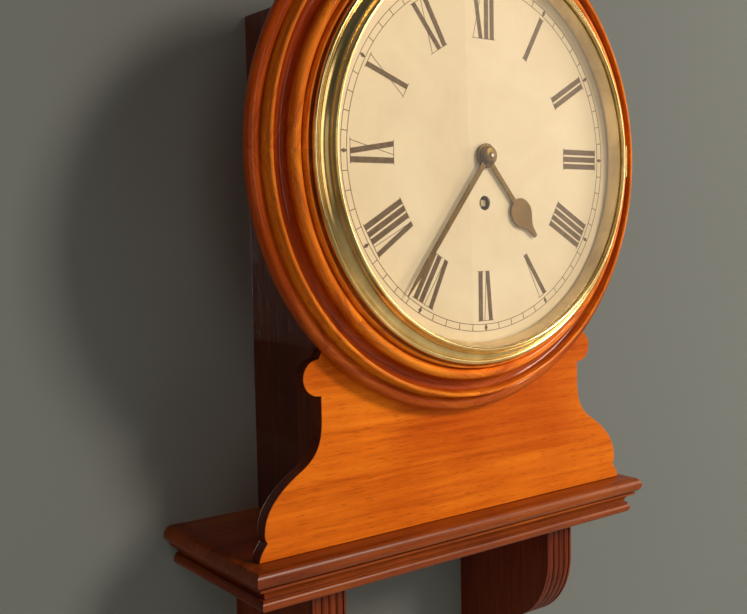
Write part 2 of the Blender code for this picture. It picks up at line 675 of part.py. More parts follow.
def make_barrel(brass, steel):
    """Spring barrel, with its set-up ratchet and click in front of the front plate."""
    low, high = 0.1045, 0.1395
    profile = [(0.0040, low), (0.0270, low), (0.0270, low + 0.0025), (0.0255, low + 0.0030)]
    profile += [(0.0255, high - 0.0030), (0.0270, high - 0.0025), (0.0270, high), (0.0040, high)]
    turned("spring_barrel", brass, profile, BARREL_CENTRE, steps=28, pivot=on_axis(BARREL_CENTRE))
    end, bearing, square = PIVOT_ENDS[0], 0.0965, 0.1560
    profile = [(0, end), (0.0029, end), (0.0029, bearing), (0.0036, bearing), (0.0036, square), (0, square)]
    shaft = turned("barrel_arbor", steel, profile, BARREL_CENTRE, steps=12)
    ratchet = toothed(RATCHET_TEETH, 0.0085, (0.9, 0.9, 0.40, 0.05), BARREL_CENTRE, 0.0)
    boolean(shaft, "UNION", prism("ratchet", steel, ratchet, 0.1470, 0.1490))
    click = [(-0.0065, 0.0122), (0.0010, 0.0101), (0.0024, 0.0112), (0.0040, 0.0180), (-0.0040, 0.0200)]
    click = [(BARREL_CENTRE[0] + a, BARREL_CENTRE[1] + b) for a, b in click]
    prism("barrel_click", steel, click, 0.1470, 0.1490)


def make_train(brass, steel):
    """Centre, third and escape wheels, each with the pinion that the wheel before it drives."""
    wind = (0, -WINDING_DROP)
    centre = (0, 0)
    _, leaf_radius = pitch_radii(WINDING_DROP, GREAT_TEETH, CENTRE_PINION_LEAVES)
    shaft = arbor("centre_arbor", steel, centre, 0.0016, 0.0965, 0.1420, 0.0009, PIVOT_ENDS[0], 0.1430)
    front_end = rod("centre_front", steel, 0.0016, 0.1415, 0.1760, pivot=on_axis(centre), steps=10)
    boolean(shaft, "UNION", front_end)
    phase = meshing_phase(clock_angle(wind, centre), CENTRE_PINION_LEAVES)
    leaves = toothed(CENTRE_PINION_LEAVES, leaf_radius, PINION_TOOTH, centre, phase)
    boolean(shaft, "UNION", prism("centre_leaves", steel, leaves, 0.0975, 0.1025, pivot=on_axis(centre)))

    for name, start, end, teeth, wheel_depth, leaf_depths, arms in (
        ("third", centre, THIRD_CENTRE, CENTRE_TEETH, 0.1310, (0.1290, 0.1345), 5),
        ("escape", THIRD_CENTRE, ESCAPE_CENTRE, THIRD_TEETH, 0.1100, (0.1080, 0.1140), 4),
    ):
        radius, leaf_radius = pitch_radii(distance(start, end), teeth, SMALL_PINION_LEAVES)
        angle = clock_angle(start, end)
        wheel_name = "centre_wheel" if name == "third" else "third_wheel"
        holes = crossings(start, radius * 0.26, radius * 0.84, arms) + [circle(start, 0.0021, 10)]
        wheel = toothed(teeth, radius, WHEEL_TOOTH, start, angle)
        prism(wheel_name, brass, wheel, wheel_depth, wheel_depth + 0.0015, holes=holes, pivot=on_axis(start))
        shaft = arbor(f"{name}_arbor", steel, end, 0.0010, 0.0965, 0.1425, 0.0007, *PIVOT_ENDS)
        phase = meshing_phase(angle, SMALL_PINION_LEAVES)
        leaves = toothed(SMALL_PINION_LEAVES, leaf_radius, PINION_TOOTH, end, phase)
        boolean(shaft, "UNION", prism(f"{name}_leaves", steel, leaves, *leaf_depths, pivot=on_axis(end)))

    holes = crossings(ESCAPE_CENTRE, 0.0040, 0.0100, 4, 0.0010) + [circle(ESCAPE_CENTRE, 0.0018, 10)]
    prism("escape_wheel", brass, escape_outline(), 0.1220, 0.1232, holes=holes, pivot=on_axis(ESCAPE_CENTRE))


def make_motion_work(brass, steel):
    """Cannon pinion, minute wheel on its stud and hour wheel, between the front plate and the dial."""
    centre = (0, 0)
    stud_centre = MOTION_CENTRE
    span = distance(centre, stud_centre)
    angle = clock_angle(centre, stud_centre)
    wheel_radius, cannon_radius = pitch_radii(span, MINUTE_TEETH, CANNON_TEETH)
    cannon = toothed(CANNON_TEETH, cannon_radius, PINION_TOOTH, centre, angle)
    bore = [circle(centre, 0.0020, 10)]
    pipe = prism("cannon_pinion", steel, cannon, 0.1485, 0.1515, holes=bore, pivot=on_axis(centre))
    sleeve = [(0.0020, 0.1480), (0.0028, 0.1480), (0.0028, 0.1722), (0.0020, 0.1722)]
    boolean(pipe, "UNION", turned("cannon_pipe", steel, sleeve, steps=10, pivot=on_axis(centre)))

    pivot = on_axis(stud_centre)
    stud_hole = [circle(stud_centre, 0.0020, 10)]
    phase = meshing_phase(angle, MINUTE_TEETH)
    outline = toothed(MINUTE_TEETH, wheel_radius, WHEEL_TOOTH, stud_centre, phase)
    minute = prism("minute_wheel", brass, outline, 0.1492, 0.1508, holes=stud_hole, pivot=pivot)
    wheel_radius, leaf_radius = pitch_radii(span, HOUR_TEETH, MINUTE_PINION_TEETH)
    phase = meshing_phase(angle, MINUTE_PINION_TEETH)
    outline = toothed(MINUTE_PINION_TEETH, leaf_radius, PINION_TOOTH, stud_centre, phase)
    leaves = prism("minute_leaves", brass, outline, 0.1505, 0.1570, holes=stud_hole, pivot=pivot)
    boolean(minute, "UNION", leaves)
    foot, shoulder, end = 0.1463, 0.1482, 0.1590
    stud = [(0, foot), (0.0034, foot), (0.0034, shoulder), (0.0016, shoulder), (0.0016, end), (0, end)]
    turned("minute_stud", steel, stud, stud_centre, steps=10)

    outline = toothed(HOUR_TEETH, wheel_radius, WHEEL_TOOTH, centre, angle)
    hour_bore = [circle(centre, 0.0032, 12)]
    hour = prism("hour_wheel", brass, outline, 0.1535, 0.1552, holes=hour_bore, pivot=on_axis(centre))
    sleeve = [(0.0032, 0.1530), (0.0043, 0.1530), (0.0043, 0.1700), (0.0032, 0.1700)]
    boolean(hour, "UNION", turned("hour_pipe", brass, sleeve, steps=12, pivot=on_axis(centre)))


def make_escapement(brass, steel):
    """Anchor pallets drawn clear of the escape wheel, with their arbor, crutch and back cock."""
    x, z = PALLET_CENTRE
    pivot = on_axis(PALLET_CENTRE)
    pallets = arbor("pallets", steel, PALLET_CENTRE, 0.0015, 0.0855, 0.1420, 0.0009, 0.0780, PIVOT_ENDS[1])
    clear, outer = ESCAPE_RADIUS + 0.0014, ESCAPE_RADIUS + 0.0050
    outline = arc(ESCAPE_CENTRE, clear, clear, 38, 142, 12)
    outline += arc(ESCAPE_CENTRE, outer, outer, 142, 128, 2)
    outline += [(x - 0.0045, z + 0.0040), (x + 0.0045, z + 0.0040)]
    outline += arc(ESCAPE_CENTRE, outer, outer, 52, 38, 2)
    boolean(pallets, "UNION", prism("anchor", steel, outline, 0.1205, 0.1247, pivot=pivot))

    crutch_bottom = z - 0.070
    arm = [(-0.0045, z + 0.0045), (-0.0016, crutch_bottom), (0.0016, crutch_bottom), (0.0045, z + 0.0045)]
    bore = circle(PALLET_CENTRE, 0.0018, 10)
    crutch = prism("crutch", steel, arm, 0.0868, 0.0882, holes=[bore], pivot=pivot)
    fork = rectangle(-0.0050, 0.0050, crutch_bottom - 0.004, crutch_bottom + 0.001)
    boolean(crutch, "UNION", prism("crutch_fork", steel, fork, 0.0640, 0.0880, pivot=pivot))
    slot = rectangle(-0.0024, 0.0024, crutch_bottom - 0.006, crutch_bottom + 0.004)
    boolean(crutch, "DIFFERENCE", prism("crutch_slot", steel, slot, 0.0600, 0.0830, pivot=pivot))

    cock = prism(
        "back_cock",
        brass,
        rectangle(-0.026, 0.026, z - 0.007, z + 0.014),
        0.0770,
        0.0800,
        holes=[circle(PALLET_CENTRE, 0.0013, 8)],
    )
    for k, side in enumerate((-1, 1)):
        foot = rectangle(side * 0.022 - 0.004, side * 0.022 + 0.004, z - 0.006, z + 0.006)
        boolean(cock, "UNION", prism(f"cock_foot_{k}", brass, foot, 0.0790, BACK_PLATE[0] - GAP))
    stud = rectangle(-0.005, 0.005, z + 0.0008, z + 0.012)
    boolean(cock, "UNION", prism("cock_stud", brass, stud, 0.0640, 0.0775))
    slit = rectangle(-0.0004, 0.0004, z, z + 0.020)
    boolean(cock, "DIFFERENCE", prism("cock_slit", brass, slit, 0.0600, 0.0740))


def make_pendulum(brass, steel):
    x, z = PALLET_CENTRE
    pivot = (x, -PENDULUM_DEPTH, z)
    bob_z = z - BOB_DROP
    spring = rectangle(PENDULUM_DEPTH - 0.004, PENDULUM_DEPTH + 0.004, z - 0.016, z + 0.0035)
    prism("suspension_spring", steel, spring, -0.00015, 0.00015, "X", pivot=pivot)

    axis = (0, PENDULUM_DEPTH)
    rod_top = z - 0.0163
    rod_low = bob_z - 0.053
    pendulum_rod = rod("pendulum_rod", steel, 0.0016, rod_low, rod_top, axis, "Z", 10, pivot)
    clasp = rectangle(-0.004, 0.004, rod_top - 0.010, rod_top)
    block = prism("rod_clasp", brass, clasp, PENDULUM_DEPTH - 0.0045, PENDULUM_DEPTH + 0.0045, pivot=pivot)
    boolean(pendulum_rod, "UNION", block)

    half = 0.0105
    face = arc((0, 0), 0.033, half, 0, 90, 5)
    profile = [(radius, PENDULUM_DEPTH + rise) for radius, rise in face[:-1]] + [(0, PENDULUM_DEPTH + half)]
    profile += [(0, PENDULUM_DEPTH - half)]
    profile += [(radius, PENDULUM_DEPTH - rise) for radius, rise in reversed(face[1:-1])]
    bob = turned("pendulum_bob", brass, profile, (0, bob_z), steps=28, pivot=(x, -PENDULUM_DEPTH, bob_z))
    boolean(bob, "DIFFERENCE", rod("bob_bore", brass, 0.0020, bob_z - 0.05, bob_z + 0.05, axis, "Z", 12))

    nut_top = bob_z - 0.0336
    profile = [(0.0020, nut_top), (0.0062, nut_top), (0.0062, nut_top - 0.0045), (0.0020, nut_top - 0.0045)]
    turned("rating_nut", brass, profile, axis, "Z", 14, (x, -PENDULUM_DEPTH, nut_top))


def main():
    clear_scene()
    wood = make_material("mahogany", (0.34, 0.10, 0.03), 0.25)
    brass = make_material("brass", (0.80, 0.62, 0.30), 0.28, 1.0)
    steel = make_material("steel", (0.45, 0.45, 0.47), 0.35, 1.0)
    bronze = make_material("bronzed_steel", (0.13, 0.09, 0.05), 0.40, 0.6)
    paint = make_material("dial_paint", (0.83, 0.74, 0.55), 0.35)
    glass = make_material("glass", (0.95, 0.97, 0.95), 0.02, alpha=0.15)

    make_case(wood, brass)
    make_side_door(wood, brass)
    make_battens(wood)
    make_surround(wood)
    make_apron(wood)
    make_shelf(wood)
    make_mouldings(wood)
    make_brackets(wood)
    make_bezel(brass, glass, steel)
    make_dial(paint)
    make_hands(bronze)
    make_plates(brass, steel)
    make_great_wheel(brass, steel)
    make_barrel(brass, steel)
    make_train(brass, steel)
    make_motion_work(brass, steel)
    make_escapement(brass, steel)
    make_pendulum(brass, steel)


main()
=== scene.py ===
"""Looks of the dial clock: fine turned and moulded surfaces, the painted dial, hands and materials.

Metres, +Z up. The wall is the plane y = 0, the clock faces -Y, and the hands turn about x = 0, z = 0.
"Depth" is the distance from the wall towards the viewer, so y = -depth. Angles of hands and numerals
are clock angles: clockwise from twelve, as the viewer sees them.
"""

import json
from math import cos, pi, radians, sin

import bmesh
import bpy
from mathutils import Matrix, Vector
from mathutils.geometry import interpolate_bezier, tessellate_polygon


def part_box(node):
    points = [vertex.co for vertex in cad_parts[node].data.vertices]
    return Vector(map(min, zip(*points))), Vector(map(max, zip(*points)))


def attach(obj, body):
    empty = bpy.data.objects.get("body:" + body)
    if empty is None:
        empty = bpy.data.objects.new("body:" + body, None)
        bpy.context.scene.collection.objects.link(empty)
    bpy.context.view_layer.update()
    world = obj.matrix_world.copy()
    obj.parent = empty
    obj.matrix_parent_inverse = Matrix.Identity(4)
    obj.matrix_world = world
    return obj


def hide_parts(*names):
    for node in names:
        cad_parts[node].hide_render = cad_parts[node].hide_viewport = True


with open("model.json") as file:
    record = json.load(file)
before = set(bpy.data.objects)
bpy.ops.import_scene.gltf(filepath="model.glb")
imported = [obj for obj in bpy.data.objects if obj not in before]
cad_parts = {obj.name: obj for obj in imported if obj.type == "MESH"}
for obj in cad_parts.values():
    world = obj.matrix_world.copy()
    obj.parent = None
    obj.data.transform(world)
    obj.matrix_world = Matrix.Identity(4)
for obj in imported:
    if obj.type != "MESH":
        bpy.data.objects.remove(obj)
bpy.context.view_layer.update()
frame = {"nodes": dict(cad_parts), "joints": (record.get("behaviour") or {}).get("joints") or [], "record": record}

GAP = 0.0003  # clearance between pieces that don't touch
TURNED_STEPS = 224
MINUTE_HAND_ANGLE = radians(218)
HOUR_HAND_ANGLE = radians(139.5)
AIM = (0, 0, -0.1)  # where the lights point: a little under the hands' axis


def high(node, axis):
    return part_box(node)[1][axis]


def low(node, axis):
    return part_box(node)[0][axis]


SURROUND_RADIUS = high("surround_ring", 0)
SURROUND_BACK = -high("surround_ring", 1)
BEZEL_RADIUS = high("bezel", 0)
BEZEL_BACK = -high("bezel", 1)
DIAL_RADIUS = high("dial", 0)
DIAL_FRONT = -low("dial", 1)
SHELF_TOP = high("shelf_board", 2)
SHELF_UNDER = low("shelf_board", 2)
SHELF_HALF_WIDTH = high("shelf_board", 0)
SHELF_DEPTH = -low("shelf_board", 1)
WINDING_DROP = 0.0384


# Outlines: lists of (a, b) points in a plane


def rectangle(low_a, high_a, low_b, high_b):
    return [(low_a, low_b), (high_a, low_b), (high_a, high_b), (low_a, high_b)]


def circle(centre, radius, steps):
    angles = [2 * pi * k / steps for k in range(steps)]
    return [(centre[0] + radius * sin(t), centre[1] + radius * cos(t)) for t in angles]


def arc(centre, radius_a, radius_b, start_deg, end_deg, steps):
    """Points on an ellipse's arc, by ordinary angle from the first axis, both ends included."""
    angles = [radians(start_deg + (end_deg - start_deg) * k / steps) for k in range(steps + 1)]
    return [(centre[0] + radius_a * cos(t), centre[1] + radius_b * sin(t)) for t in angles]


def bezier(start, start_handle, end_handle, end, steps):
    corners = [Vector((*point, 0)) for point in (start, start_handle, end_handle, end)]
    return [(p.x, p.y) for p in interpolate_bezier(*corners, steps + 1)]


def mirrored(points):
    return [(-a, b) for a, b in reversed(points)]


def turned_to(points, angle):
    """Turns (across, outward) points to lie along a clock angle in the dial's plane."""
    return [(s * sin(angle) + w * cos(angle), s * cos(angle) - w * sin(angle)) for w, s in points]


# Meshes


def at(along, a, b, position):
    """World point for an outline point and a position along the axis: (x, z), (depth, z) or (x, depth)."""
    if along == "Y":
        return (a, -position, b)
    if along == "X":
        return (position, -a, b)
    return (a, -b, position)


def add_prism(bm, outer, near, far, along="Y", holes=()):
    loops = [outer, *holes]
    ends = [[[bm.verts.new(at(along, a, b, p)) for a, b in loop] for loop in loops] for p in (near, far)]
    for bottom, top in zip(*ends):
        for k in range(len(bottom)):
            following = (k + 1) % len(bottom)
            bm.faces.new((bottom[k], bottom[following], top[following], top[k]))
    triangles = tessellate_polygon([[Vector((a, b, 0)) for a, b in loop] for loop in loops])
    for end in ends:
        flat = [vert for loop in end for vert in loop]
        for triangle in triangles:
            bm.faces.new([flat[k] for k in triangle])


def add_turned(bm, profile, centre=(0, 0), along="Y", steps=TURNED_STEPS):
    """Turns a closed profile of (radius, position) about an axis. A point of radius 0 becomes a pole."""
    rings = []
    for radius, position in profile:
        if radius == 0:
            rings.append([bm.verts.new(at(along, *centre, position))] * steps)
            continue
        rings.append([bm.verts.new(at(along, a, b, position)) for a, b in circle(centre, radius, steps)])
    for k, near in enumerate(rings):
        far = rings[(k + 1) % len(rings)]
        for j in range(steps):
            following = (j + 1) % steps
            corners = list(dict.fromkeys([near[j], near[following], far[following], far[j]]))
            if len(corners) > 2:
                bm.faces.new(corners)


def finished(name, bm, material, body, replaces=(), sharp=32):
    """Makes the piece, with its faces out and round sides smooth, riding on its body."""
    bmesh.ops.recalc_face_normals(bm, faces=bm.faces)
    mesh = bpy.data.meshes.new(name)
    bm.to_mesh(mesh)
    bm.free()
    mesh.materials.append(material)
    mesh.shade_smooth()
    mesh.set_sharp_from_angle(angle=radians(sharp))
    piece = bpy.data.objects.new(name, mesh)
    bpy.context.scene.collection.objects.link(piece)
    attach(piece, body)
    if replaces:
        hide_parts(*replaces)
    return piece


def rounded(piece, width, segments=3, angle=40):
    """Rounds the sharp edges of a piece, and keeps its flat faces flat."""
    modifier = piece.modifiers.new("rounded_edges", "BEVEL")
    modifier.width = width
    modifier.segments = segments
    modifier.limit_method = "ANGLE"
    modifier.angle_limit = radians(angle)
    modifier.harden_normals = True
    return piece


def cut_away(piece, bm, name):
    """Cuts the given shape out of a piece."""
    bmesh.ops.recalc_face_normals(bm, faces=bm.faces)
    mesh = bpy.data.meshes.new(name)
    bm.to_mesh(mesh)
    bm.free()
    cutter = bpy.data.objects.new(name, mesh)
    bpy.context.scene.collection.objects.link(cutter)
    cut = piece.modifiers.new(name, "BOOLEAN")
    cut.object = cutter
    cut.operation = "DIFFERENCE"
    evaluated = piece.evaluated_get(bpy.context.evaluated_depsgraph_get())
    shaped = bpy.data.meshes.new_from_object(evaluated)
    piece.modifiers.clear()
    piece.data = shaped
    bpy.data.objects.remove(cutter)


def softened(node_name, name, body, material, width):
    """A copy of a plain CAD board with its arrises eased, standing for that board."""
    bm = bmesh.new()
    bm.from_mesh(frame["nodes"][node_name].data)
    bmesh.ops.remove_doubles(bm, verts=bm.verts, dist=0.00001)
    bmesh.ops.dissolve_limit(bm, angle_limit=radians(1), verts=bm.verts, edges=bm.edges)
    return rounded(finished(name, bm, material, body, [node_name]), width)


# Materials: every colour is linear red, green and blue

NOISE_SPAN = (0.3, 0.7)  # where most of a noise's values lie
RING_SEGMENTS = 8
SEGMENT_SHIFT = 0.37  # moves the grain on from one segment to the next
LATHE_LINES_PER_METRE = 2600.0
RING_PAINTED_SHADING = [  # radius on the turned ring, and the painted light and shade there: bright on the beads and crests, dark in the cove and on the outer side
    (0.1745, 1.60),
    (0.1752, 1.20),
    (0.1765, 1.60),
    (0.1838, 1.40),
    (0.1850, 0.55),
    (0.1948, 0.55),
    (0.1962, 1.30),
    (0.1995, 1.30),
    (0.2020, 0.70),
]

# Wood tones: light, middle and dark
RING_TONES = ((0.80, 0.265, 0.018), (0.56, 0.140, 0.010), (0.30, 0.050, 0.004))
PANEL_TONES = ((0.81, 0.222, 0.012), (0.67, 0.152, 0.008), (0.42, 0.072, 0.004))
SHELF_TONES = ((0.37, 0.086, 0.006), (0.23, 0.044, 0.004), (0.105, 0.016, 0.002))
BRACKET_TONES = ((0.24, 0.044, 0.005), (0.15, 0.023, 0.003), (0.075, 0.009, 0.002))
CASE_TONES = ((0.16, 0.032, 0.008), (0.09, 0.016, 0.004), (0.045, 0.008, 0.003))
INNER_TONES = ((0.30, 0.125, 0.045), (0.22, 0.085, 0.028), (0.14, 0.050, 0.016))

DIAL_CREAM = (0.80, 0.69, 0.48)
DIAL_YELLOWED = (0.70, 0.585, 0.385)
DIAL_RIM_AGE_AND_SHADE = (0.66, 0.52, 0.31)
DIAL_CRACK = (0.40, 0.30, 0.17)
INK_BROWN = (0.075, 0.038, 0.010)
INK_WORN = (0.150, 0.092, 0.034)
STEEL_GREY = (0.40, 0.38, 0.35)
STEEL_BROWNED = (0.105, 0.062, 0.017)
WALL_COLOUR = (0.155, 0.176, 0.180)
FLOOR_COLOUR = (0.60, 0.60, 0.57)


def times(colour, factor):
    return tuple(factor * value for value in colour)


def new_material(name):
    material = bpy.data.materials.new(name)
    material.use_nodes = True
    return material, material.node_tree, material.node_tree.nodes["Principled BSDF"]


def node(tree, kind, inputs=(), output=0, **settings):
    """Adds a node, sets or links its inputs, and gives back one of its outputs."""
    made = tree.nodes.new(kind)
    for key, value in settings.items():
        setattr(made, key, value)
    for key, value in dict(inputs).items():
        if isinstance(value, bpy.types.NodeSocket):
            tree.links.new(value, made.inputs[key])
        else:
            made.inputs[key].default_value = value
    return made.outputs[output]


def maths(tree, operation, first, second=0.0):
    return node(tree, "ShaderNodeMath", {0: first, 1: second}, operation=operation)


def noise(tree, vector, scale=1.0, detail=3.0, roughness=0.55, distortion=0.0):
    settings = {"Scale": scale, "Detail": detail, "Roughness": roughness, "Distortion": distortion}
    return node(tree, "ShaderNodeTexNoise", {"Vector": vector, **settings})


def ramp(tree, factor, stops):
    """A colour ramp through (position, colour) stops."""
    made = tree.nodes.new("ShaderNodeValToRGB")
    elements = made.color_ramp.elements
    while len(elements) < len(stops):
        elements.new(0.5)
    for element, (position, colour) in zip(elements, stops):
        element.position = position
        element.color = (*colour, 1)
    tree.links.new(factor, made.inputs[0])
    return made.outputs[0]


def spread(tree, factor, span, new_span):
    """Maps one span of values evenly to another, and holds the ends."""
    inputs = {0: factor, 1: span[0], 2: span[1], 3: new_span[0], 4: new_span[1]}
    return node(tree, "ShaderNodeMapRange", inputs)


def mixed(tree, factor, first, second, blend="MIX"):
    made = tree.nodes.new("ShaderNodeMix")
    made.data_type = "RGBA"
    made.blend_type = blend
    for index, value in ((0, factor), (6, first), (7, second)):
        if isinstance(value, bpy.types.NodeSocket):
            tree.links.new(value, made.inputs[index])
        else:
            made.inputs[index].default_value = value if index == 0 else (*value, 1)
    return made.outputs[2]


def object_point(tree):
    return node(tree, "ShaderNodeTexCoord", output="Object")


def scaled(tree, vector, scale):
    return node(tree, "ShaderNodeMapping", {"Vector": vector, "Scale": scale})


def coordinate_parts(tree):
    made = tree.nodes.new("ShaderNodeSeparateXYZ")
    tree.links.new(object_point(tree), made.inputs[0])
    return made.outputs[:3]


def axis_radius(tree, x, z):
    """Distance from the hands' axis."""
    square = maths(tree, "ADD", maths(tree, "MULTIPLY", x, x), maths(tree, "MULTIPLY", z, z))
    return maths(tree, "SQRT", square)


def straight_grain(tree, axis):
    """Coordinates with the grain along one axis: the first is along it, the others across it."""
    x, y, z = coordinate_parts(tree)
    order = {"X": (x, y, z), "Y": (y, z, x), "Z": (z, x, y)}[axis]
    return node(tree, "ShaderNodeCombineXYZ", dict(enumerate(order)))


def segment_grain(tree):
    """Grain of a ring built from straight segments before it is turned: each runs along its own chord."""
    x, y, z = coordinate_parts(tree)
    step = 2 * pi / RING_SEGMENTS
    turn = maths(tree, "DIVIDE", maths(tree, "ARCTAN2", x, z), step)
    number = maths(tree, "FLOOR", turn)
    angle = maths(tree, "MULTIPLY", maths(tree, "ADD", number, 0.5), step)
    sine, cosine = maths(tree, "SINE", angle), maths(tree, "COSINE", angle)
    along = maths(tree, "SUBTRACT", maths(tree, "MULTIPLY", x, cosine), maths(tree, "MULTIPLY", z, sine))
    out = maths(tree, "ADD", maths(tree, "MULTIPLY", x, sine), maths(tree, "MULTIPLY", z, cosine))
    shifted = maths(tree, "ADD", along, maths(tree, "MULTIPLY", number, SEGMENT_SHIFT))
    return node(tree, "ShaderNodeCombineXYZ", {0: shifted, 1: out, 2: y})


def turned_painted_shading(tree):
    """Painted light and shade across the turned ring: brighter beads and crests, a darker cove and outer side. Its
    back face is left out, as if it lay past the last radius.
    """
    x, y, z = coordinate_parts(tree)
    back_face = spread(tree, y, (-SURROUND_BACK - 0.0015, -SURROUND_BACK - 0.0005), (0.0, 1.0))
    radius = maths(tree, "ADD", axis_radius(tree, x, z), back_face)
    start, end = RING_PAINTED_SHADING[0][0], RING_PAINTED_SHADING[-1][0]
    stops = [((spot - start) / (end - start), (tone / 2, tone / 2, tone / 2)) for spot, tone in RING_PAINTED_SHADING]
    return maths(tree, "MULTIPLY", ramp(tree, spread(tree, radius, (start, end), (0.0, 1.0)), stops), 2.0)


def mahogany(name, grain, tones, gloss=0.26, coat=0.35, coat_roughness=0.12, specular=0.3, painted_shading=None):
    """French-polished mahogany: slow ribbons of tone, streaks along the grain and short dark pores.

    Where random clouds or the ring's painted shade darken the wood, it also turns redder.
    """
    material, tree, shader = new_material(name)
    light, middle, dark = tones
    coordinates = grain(tree)
    ribbon_point = scaled(tree, coordinates, (3.0, 26.0, 26.0))
    streak_point = scaled(tree, coordinates, (9.0, 230.0, 230.0))
    pore_point = scaled(tree, coordinates, (75.0, 1500.0, 1500.0))
    ribbons = noise(tree, ribbon_point, detail=4.0, roughness=0.6, distortion=0.6)
    streaks = noise(tree, streak_point, detail=5.0, roughness=0.65, distortion=0.2)
    pores = noise(tree, pore_point, detail=2.0, roughness=0.5)
    clouds = noise(tree, coordinates, scale=5.0, detail=2.0)
    broad = maths(tree, "MULTIPLY", ribbons, 0.55)
    narrow = maths(tree, "MULTIPLY", streaks, 0.45)
    colour = ramp(tree, maths(tree, "ADD", broad, narrow), [(0.34, dark), (0.50, middle), (0.66, light)])
    shade = spread(tree, clouds, NOISE_SPAN, (0.72, 1.16))
    # painted light and shade on the turned ring, by radius
    if painted_shading:
        shade = maths(tree, "MULTIPLY", shade, painted_shading(tree))
    redder = maths(tree, "MULTIPLY", shade, maths(tree, "MINIMUM", shade, 1.0))
    tint = node(tree, "ShaderNodeCombineColor", {0: shade, 1: redder, 2: redder})
    colour = mixed(tree, 1.0, colour, tint, "MULTIPLY")
    pore = spread(tree, pores, (0.60, 0.70), (0.0, 0.55))
    colour = mixed(tree, pore, colour, times(dark, 0.25))
    tree.links.new(colour, shader.inputs["Base Color"])
    tree.links.new(spread(tree, streaks, NOISE_SPAN, (gloss, gloss + 0.14)), shader.inputs["Roughness"])
    height = maths(tree, "SUBTRACT", maths(tree, "MULTIPLY", streaks, 0.4), pore)
    bump = node(tree, "ShaderNodeBump", {"Strength": 0.10, "Distance": 0.0004, "Height": height})
    tree.links.new(bump, shader.inputs["Normal"])
    shader.inputs["Coat Weight"].default_value = coat
    shader.inputs["Coat Roughness"].default_value = coat_roughness
    shader.inputs["Specular IOR Level"].default_value = specular
    shader.inputs["Coat IOR"].default_value = 1.5
    return material


def brass(name, light, dark, lines, gloss=0.20):
    """Lacquered brass with cloudy tarnish and fine machining marks across the given coordinates."""
    material, tree, shader = new_material(name)
    point = object_point(tree)
    tarnish = noise(tree, point, scale=28.0, detail=5.0, roughness=0.62, distortion=0.4)
    specks = noise(tree, point, scale=420.0, detail=2.0, roughness=0.5)
    marks = noise(tree, lines(tree), roughness=0.6)
    colour = ramp(tree, tarnish, [(0.32, dark), (0.62, light)])
    colour = mixed(tree, spread(tree, specks, (0.68, 0.78), (0.0, 0.4)), colour, times(dark, 0.4))
    tree.links.new(colour, shader.inputs["Base Color"])
    marked = spread(tree, marks, NOISE_SPAN, (gloss - 0.05, gloss + 0.08))
    tarnished = spread(tree, tarnish, NOISE_SPAN, (0.05, -0.03))
    tree.links.new(maths(tree, "ADD", marked, tarnished), shader.inputs["Roughness"])
    bump = node(tree, "ShaderNodeBump", {"Strength": 0.06, "Distance": 0.0002, "Height": marks})
    tree.links.new(bump, shader.inputs["Normal"])
    shader.inputs["Metallic"].default_value = 1.0
    return material


def lathe_lines(tree):
    """Coordinates that change only with the distance from the hands' axis and with depth."""
    x, y, z = coordinate_parts(tree)
    across = maths(tree, "MULTIPLY", axis_radius(tree, x, z), LATHE_LINES_PER_METRE)
    along = maths(tree, "MULTIPLY", y, LATHE_LINES_PER_METRE)
    return node(tree, "ShaderNodeCombineXYZ", {0: across, 1: along})


def straight_lines(tree):
    return scaled(tree, object_point(tree), (1400.0, 1400.0, 40.0))


def metal(name, colour, gloss):
    """Plain polished or browned metal with a little unevenness."""
    material, tree, shader = new_material(name)
    point = object_point(tree)
    cloud = noise(tree, point, scale=60.0, detail=4.0, roughness=0.6)
    grain = noise(tree, scaled(tree, point, (900.0, 900.0, 120.0)), detail=2.0)
    uneven = ramp(tree, cloud, [(0.30, times(colour, 0.62)), (0.65, colour)])
    tree.links.new(uneven, shader.inputs["Base Color"])
    tree.links.new(spread(tree, grain, NOISE_SPAN, (gloss, gloss + 0.16)), shader.inputs["Roughness"])
    shader.inputs["Metallic"].default_value = 1.0
    return material


def painted_dial(name):
    """Old cream paint: faint clouds, a darker, warmer rim that is partly yellowed paint and partly painted shade
    under the bezel, and a very fine crackle.
    """
    material, tree, shader = new_material(name)
    point = object_point(tree)
    x, _, z = coordinate_parts(tree)
    cloud = noise(tree, point, scale=14.0, detail=5.0, roughness=0.6, distortion=0.5)
    colour = ramp(tree, cloud, [(0.30, DIAL_YELLOWED), (0.70, DIAL_CREAM)])
    # darker and warmer towards the bezel: partly yellowed paint, partly painted shade under the bezel
    rim = spread(tree, axis_radius(tree, x, z), (0.120, 0.160), (0.0, 0.35))
    colour = mixed(tree, rim, colour, DIAL_RIM_AGE_AND_SHADE)
    cells = {"Vector": point, "Scale": 190.0}
    crackle = node(tree, "ShaderNodeTexVoronoi", cells, "Distance", feature="DISTANCE_TO_EDGE")
    line = spread(tree, crackle, (0.0, 0.025), (0.10, 0.0))
    colour = mixed(tree, line, colour, DIAL_CRACK)
    tree.links.new(colour, shader.inputs["Base Color"])
    tree.links.new(spread(tree, cloud, NOISE_SPAN, (0.50, 0.60)), shader.inputs["Roughness"])
    shader.inputs["Specular IOR Level"].default_value = 0.25
    wave = node(tree, "ShaderNodeBump", {"Strength": 0.04, "Distance": 0.001, "Height": cloud})
    tree.links.new(wave, shader.inputs["Normal"])
    return material


def ink(name):
    """Numeral paint: dark brown, worn a little thin in places."""
    material, tree, shader = new_material(name)
    worn = noise(tree, object_point(tree), scale=260.0, detail=4.0, roughness=0.6)
    colour = ramp(tree, worn, [(0.40, INK_BROWN), (0.75, INK_WORN)])
    tree.links.new(colour, shader.inputs["Base Color"])
    shader.inputs["Roughness"].default_value = 0.5
    shader.inputs["Specular IOR Level"].default_value = 0.2
    return material


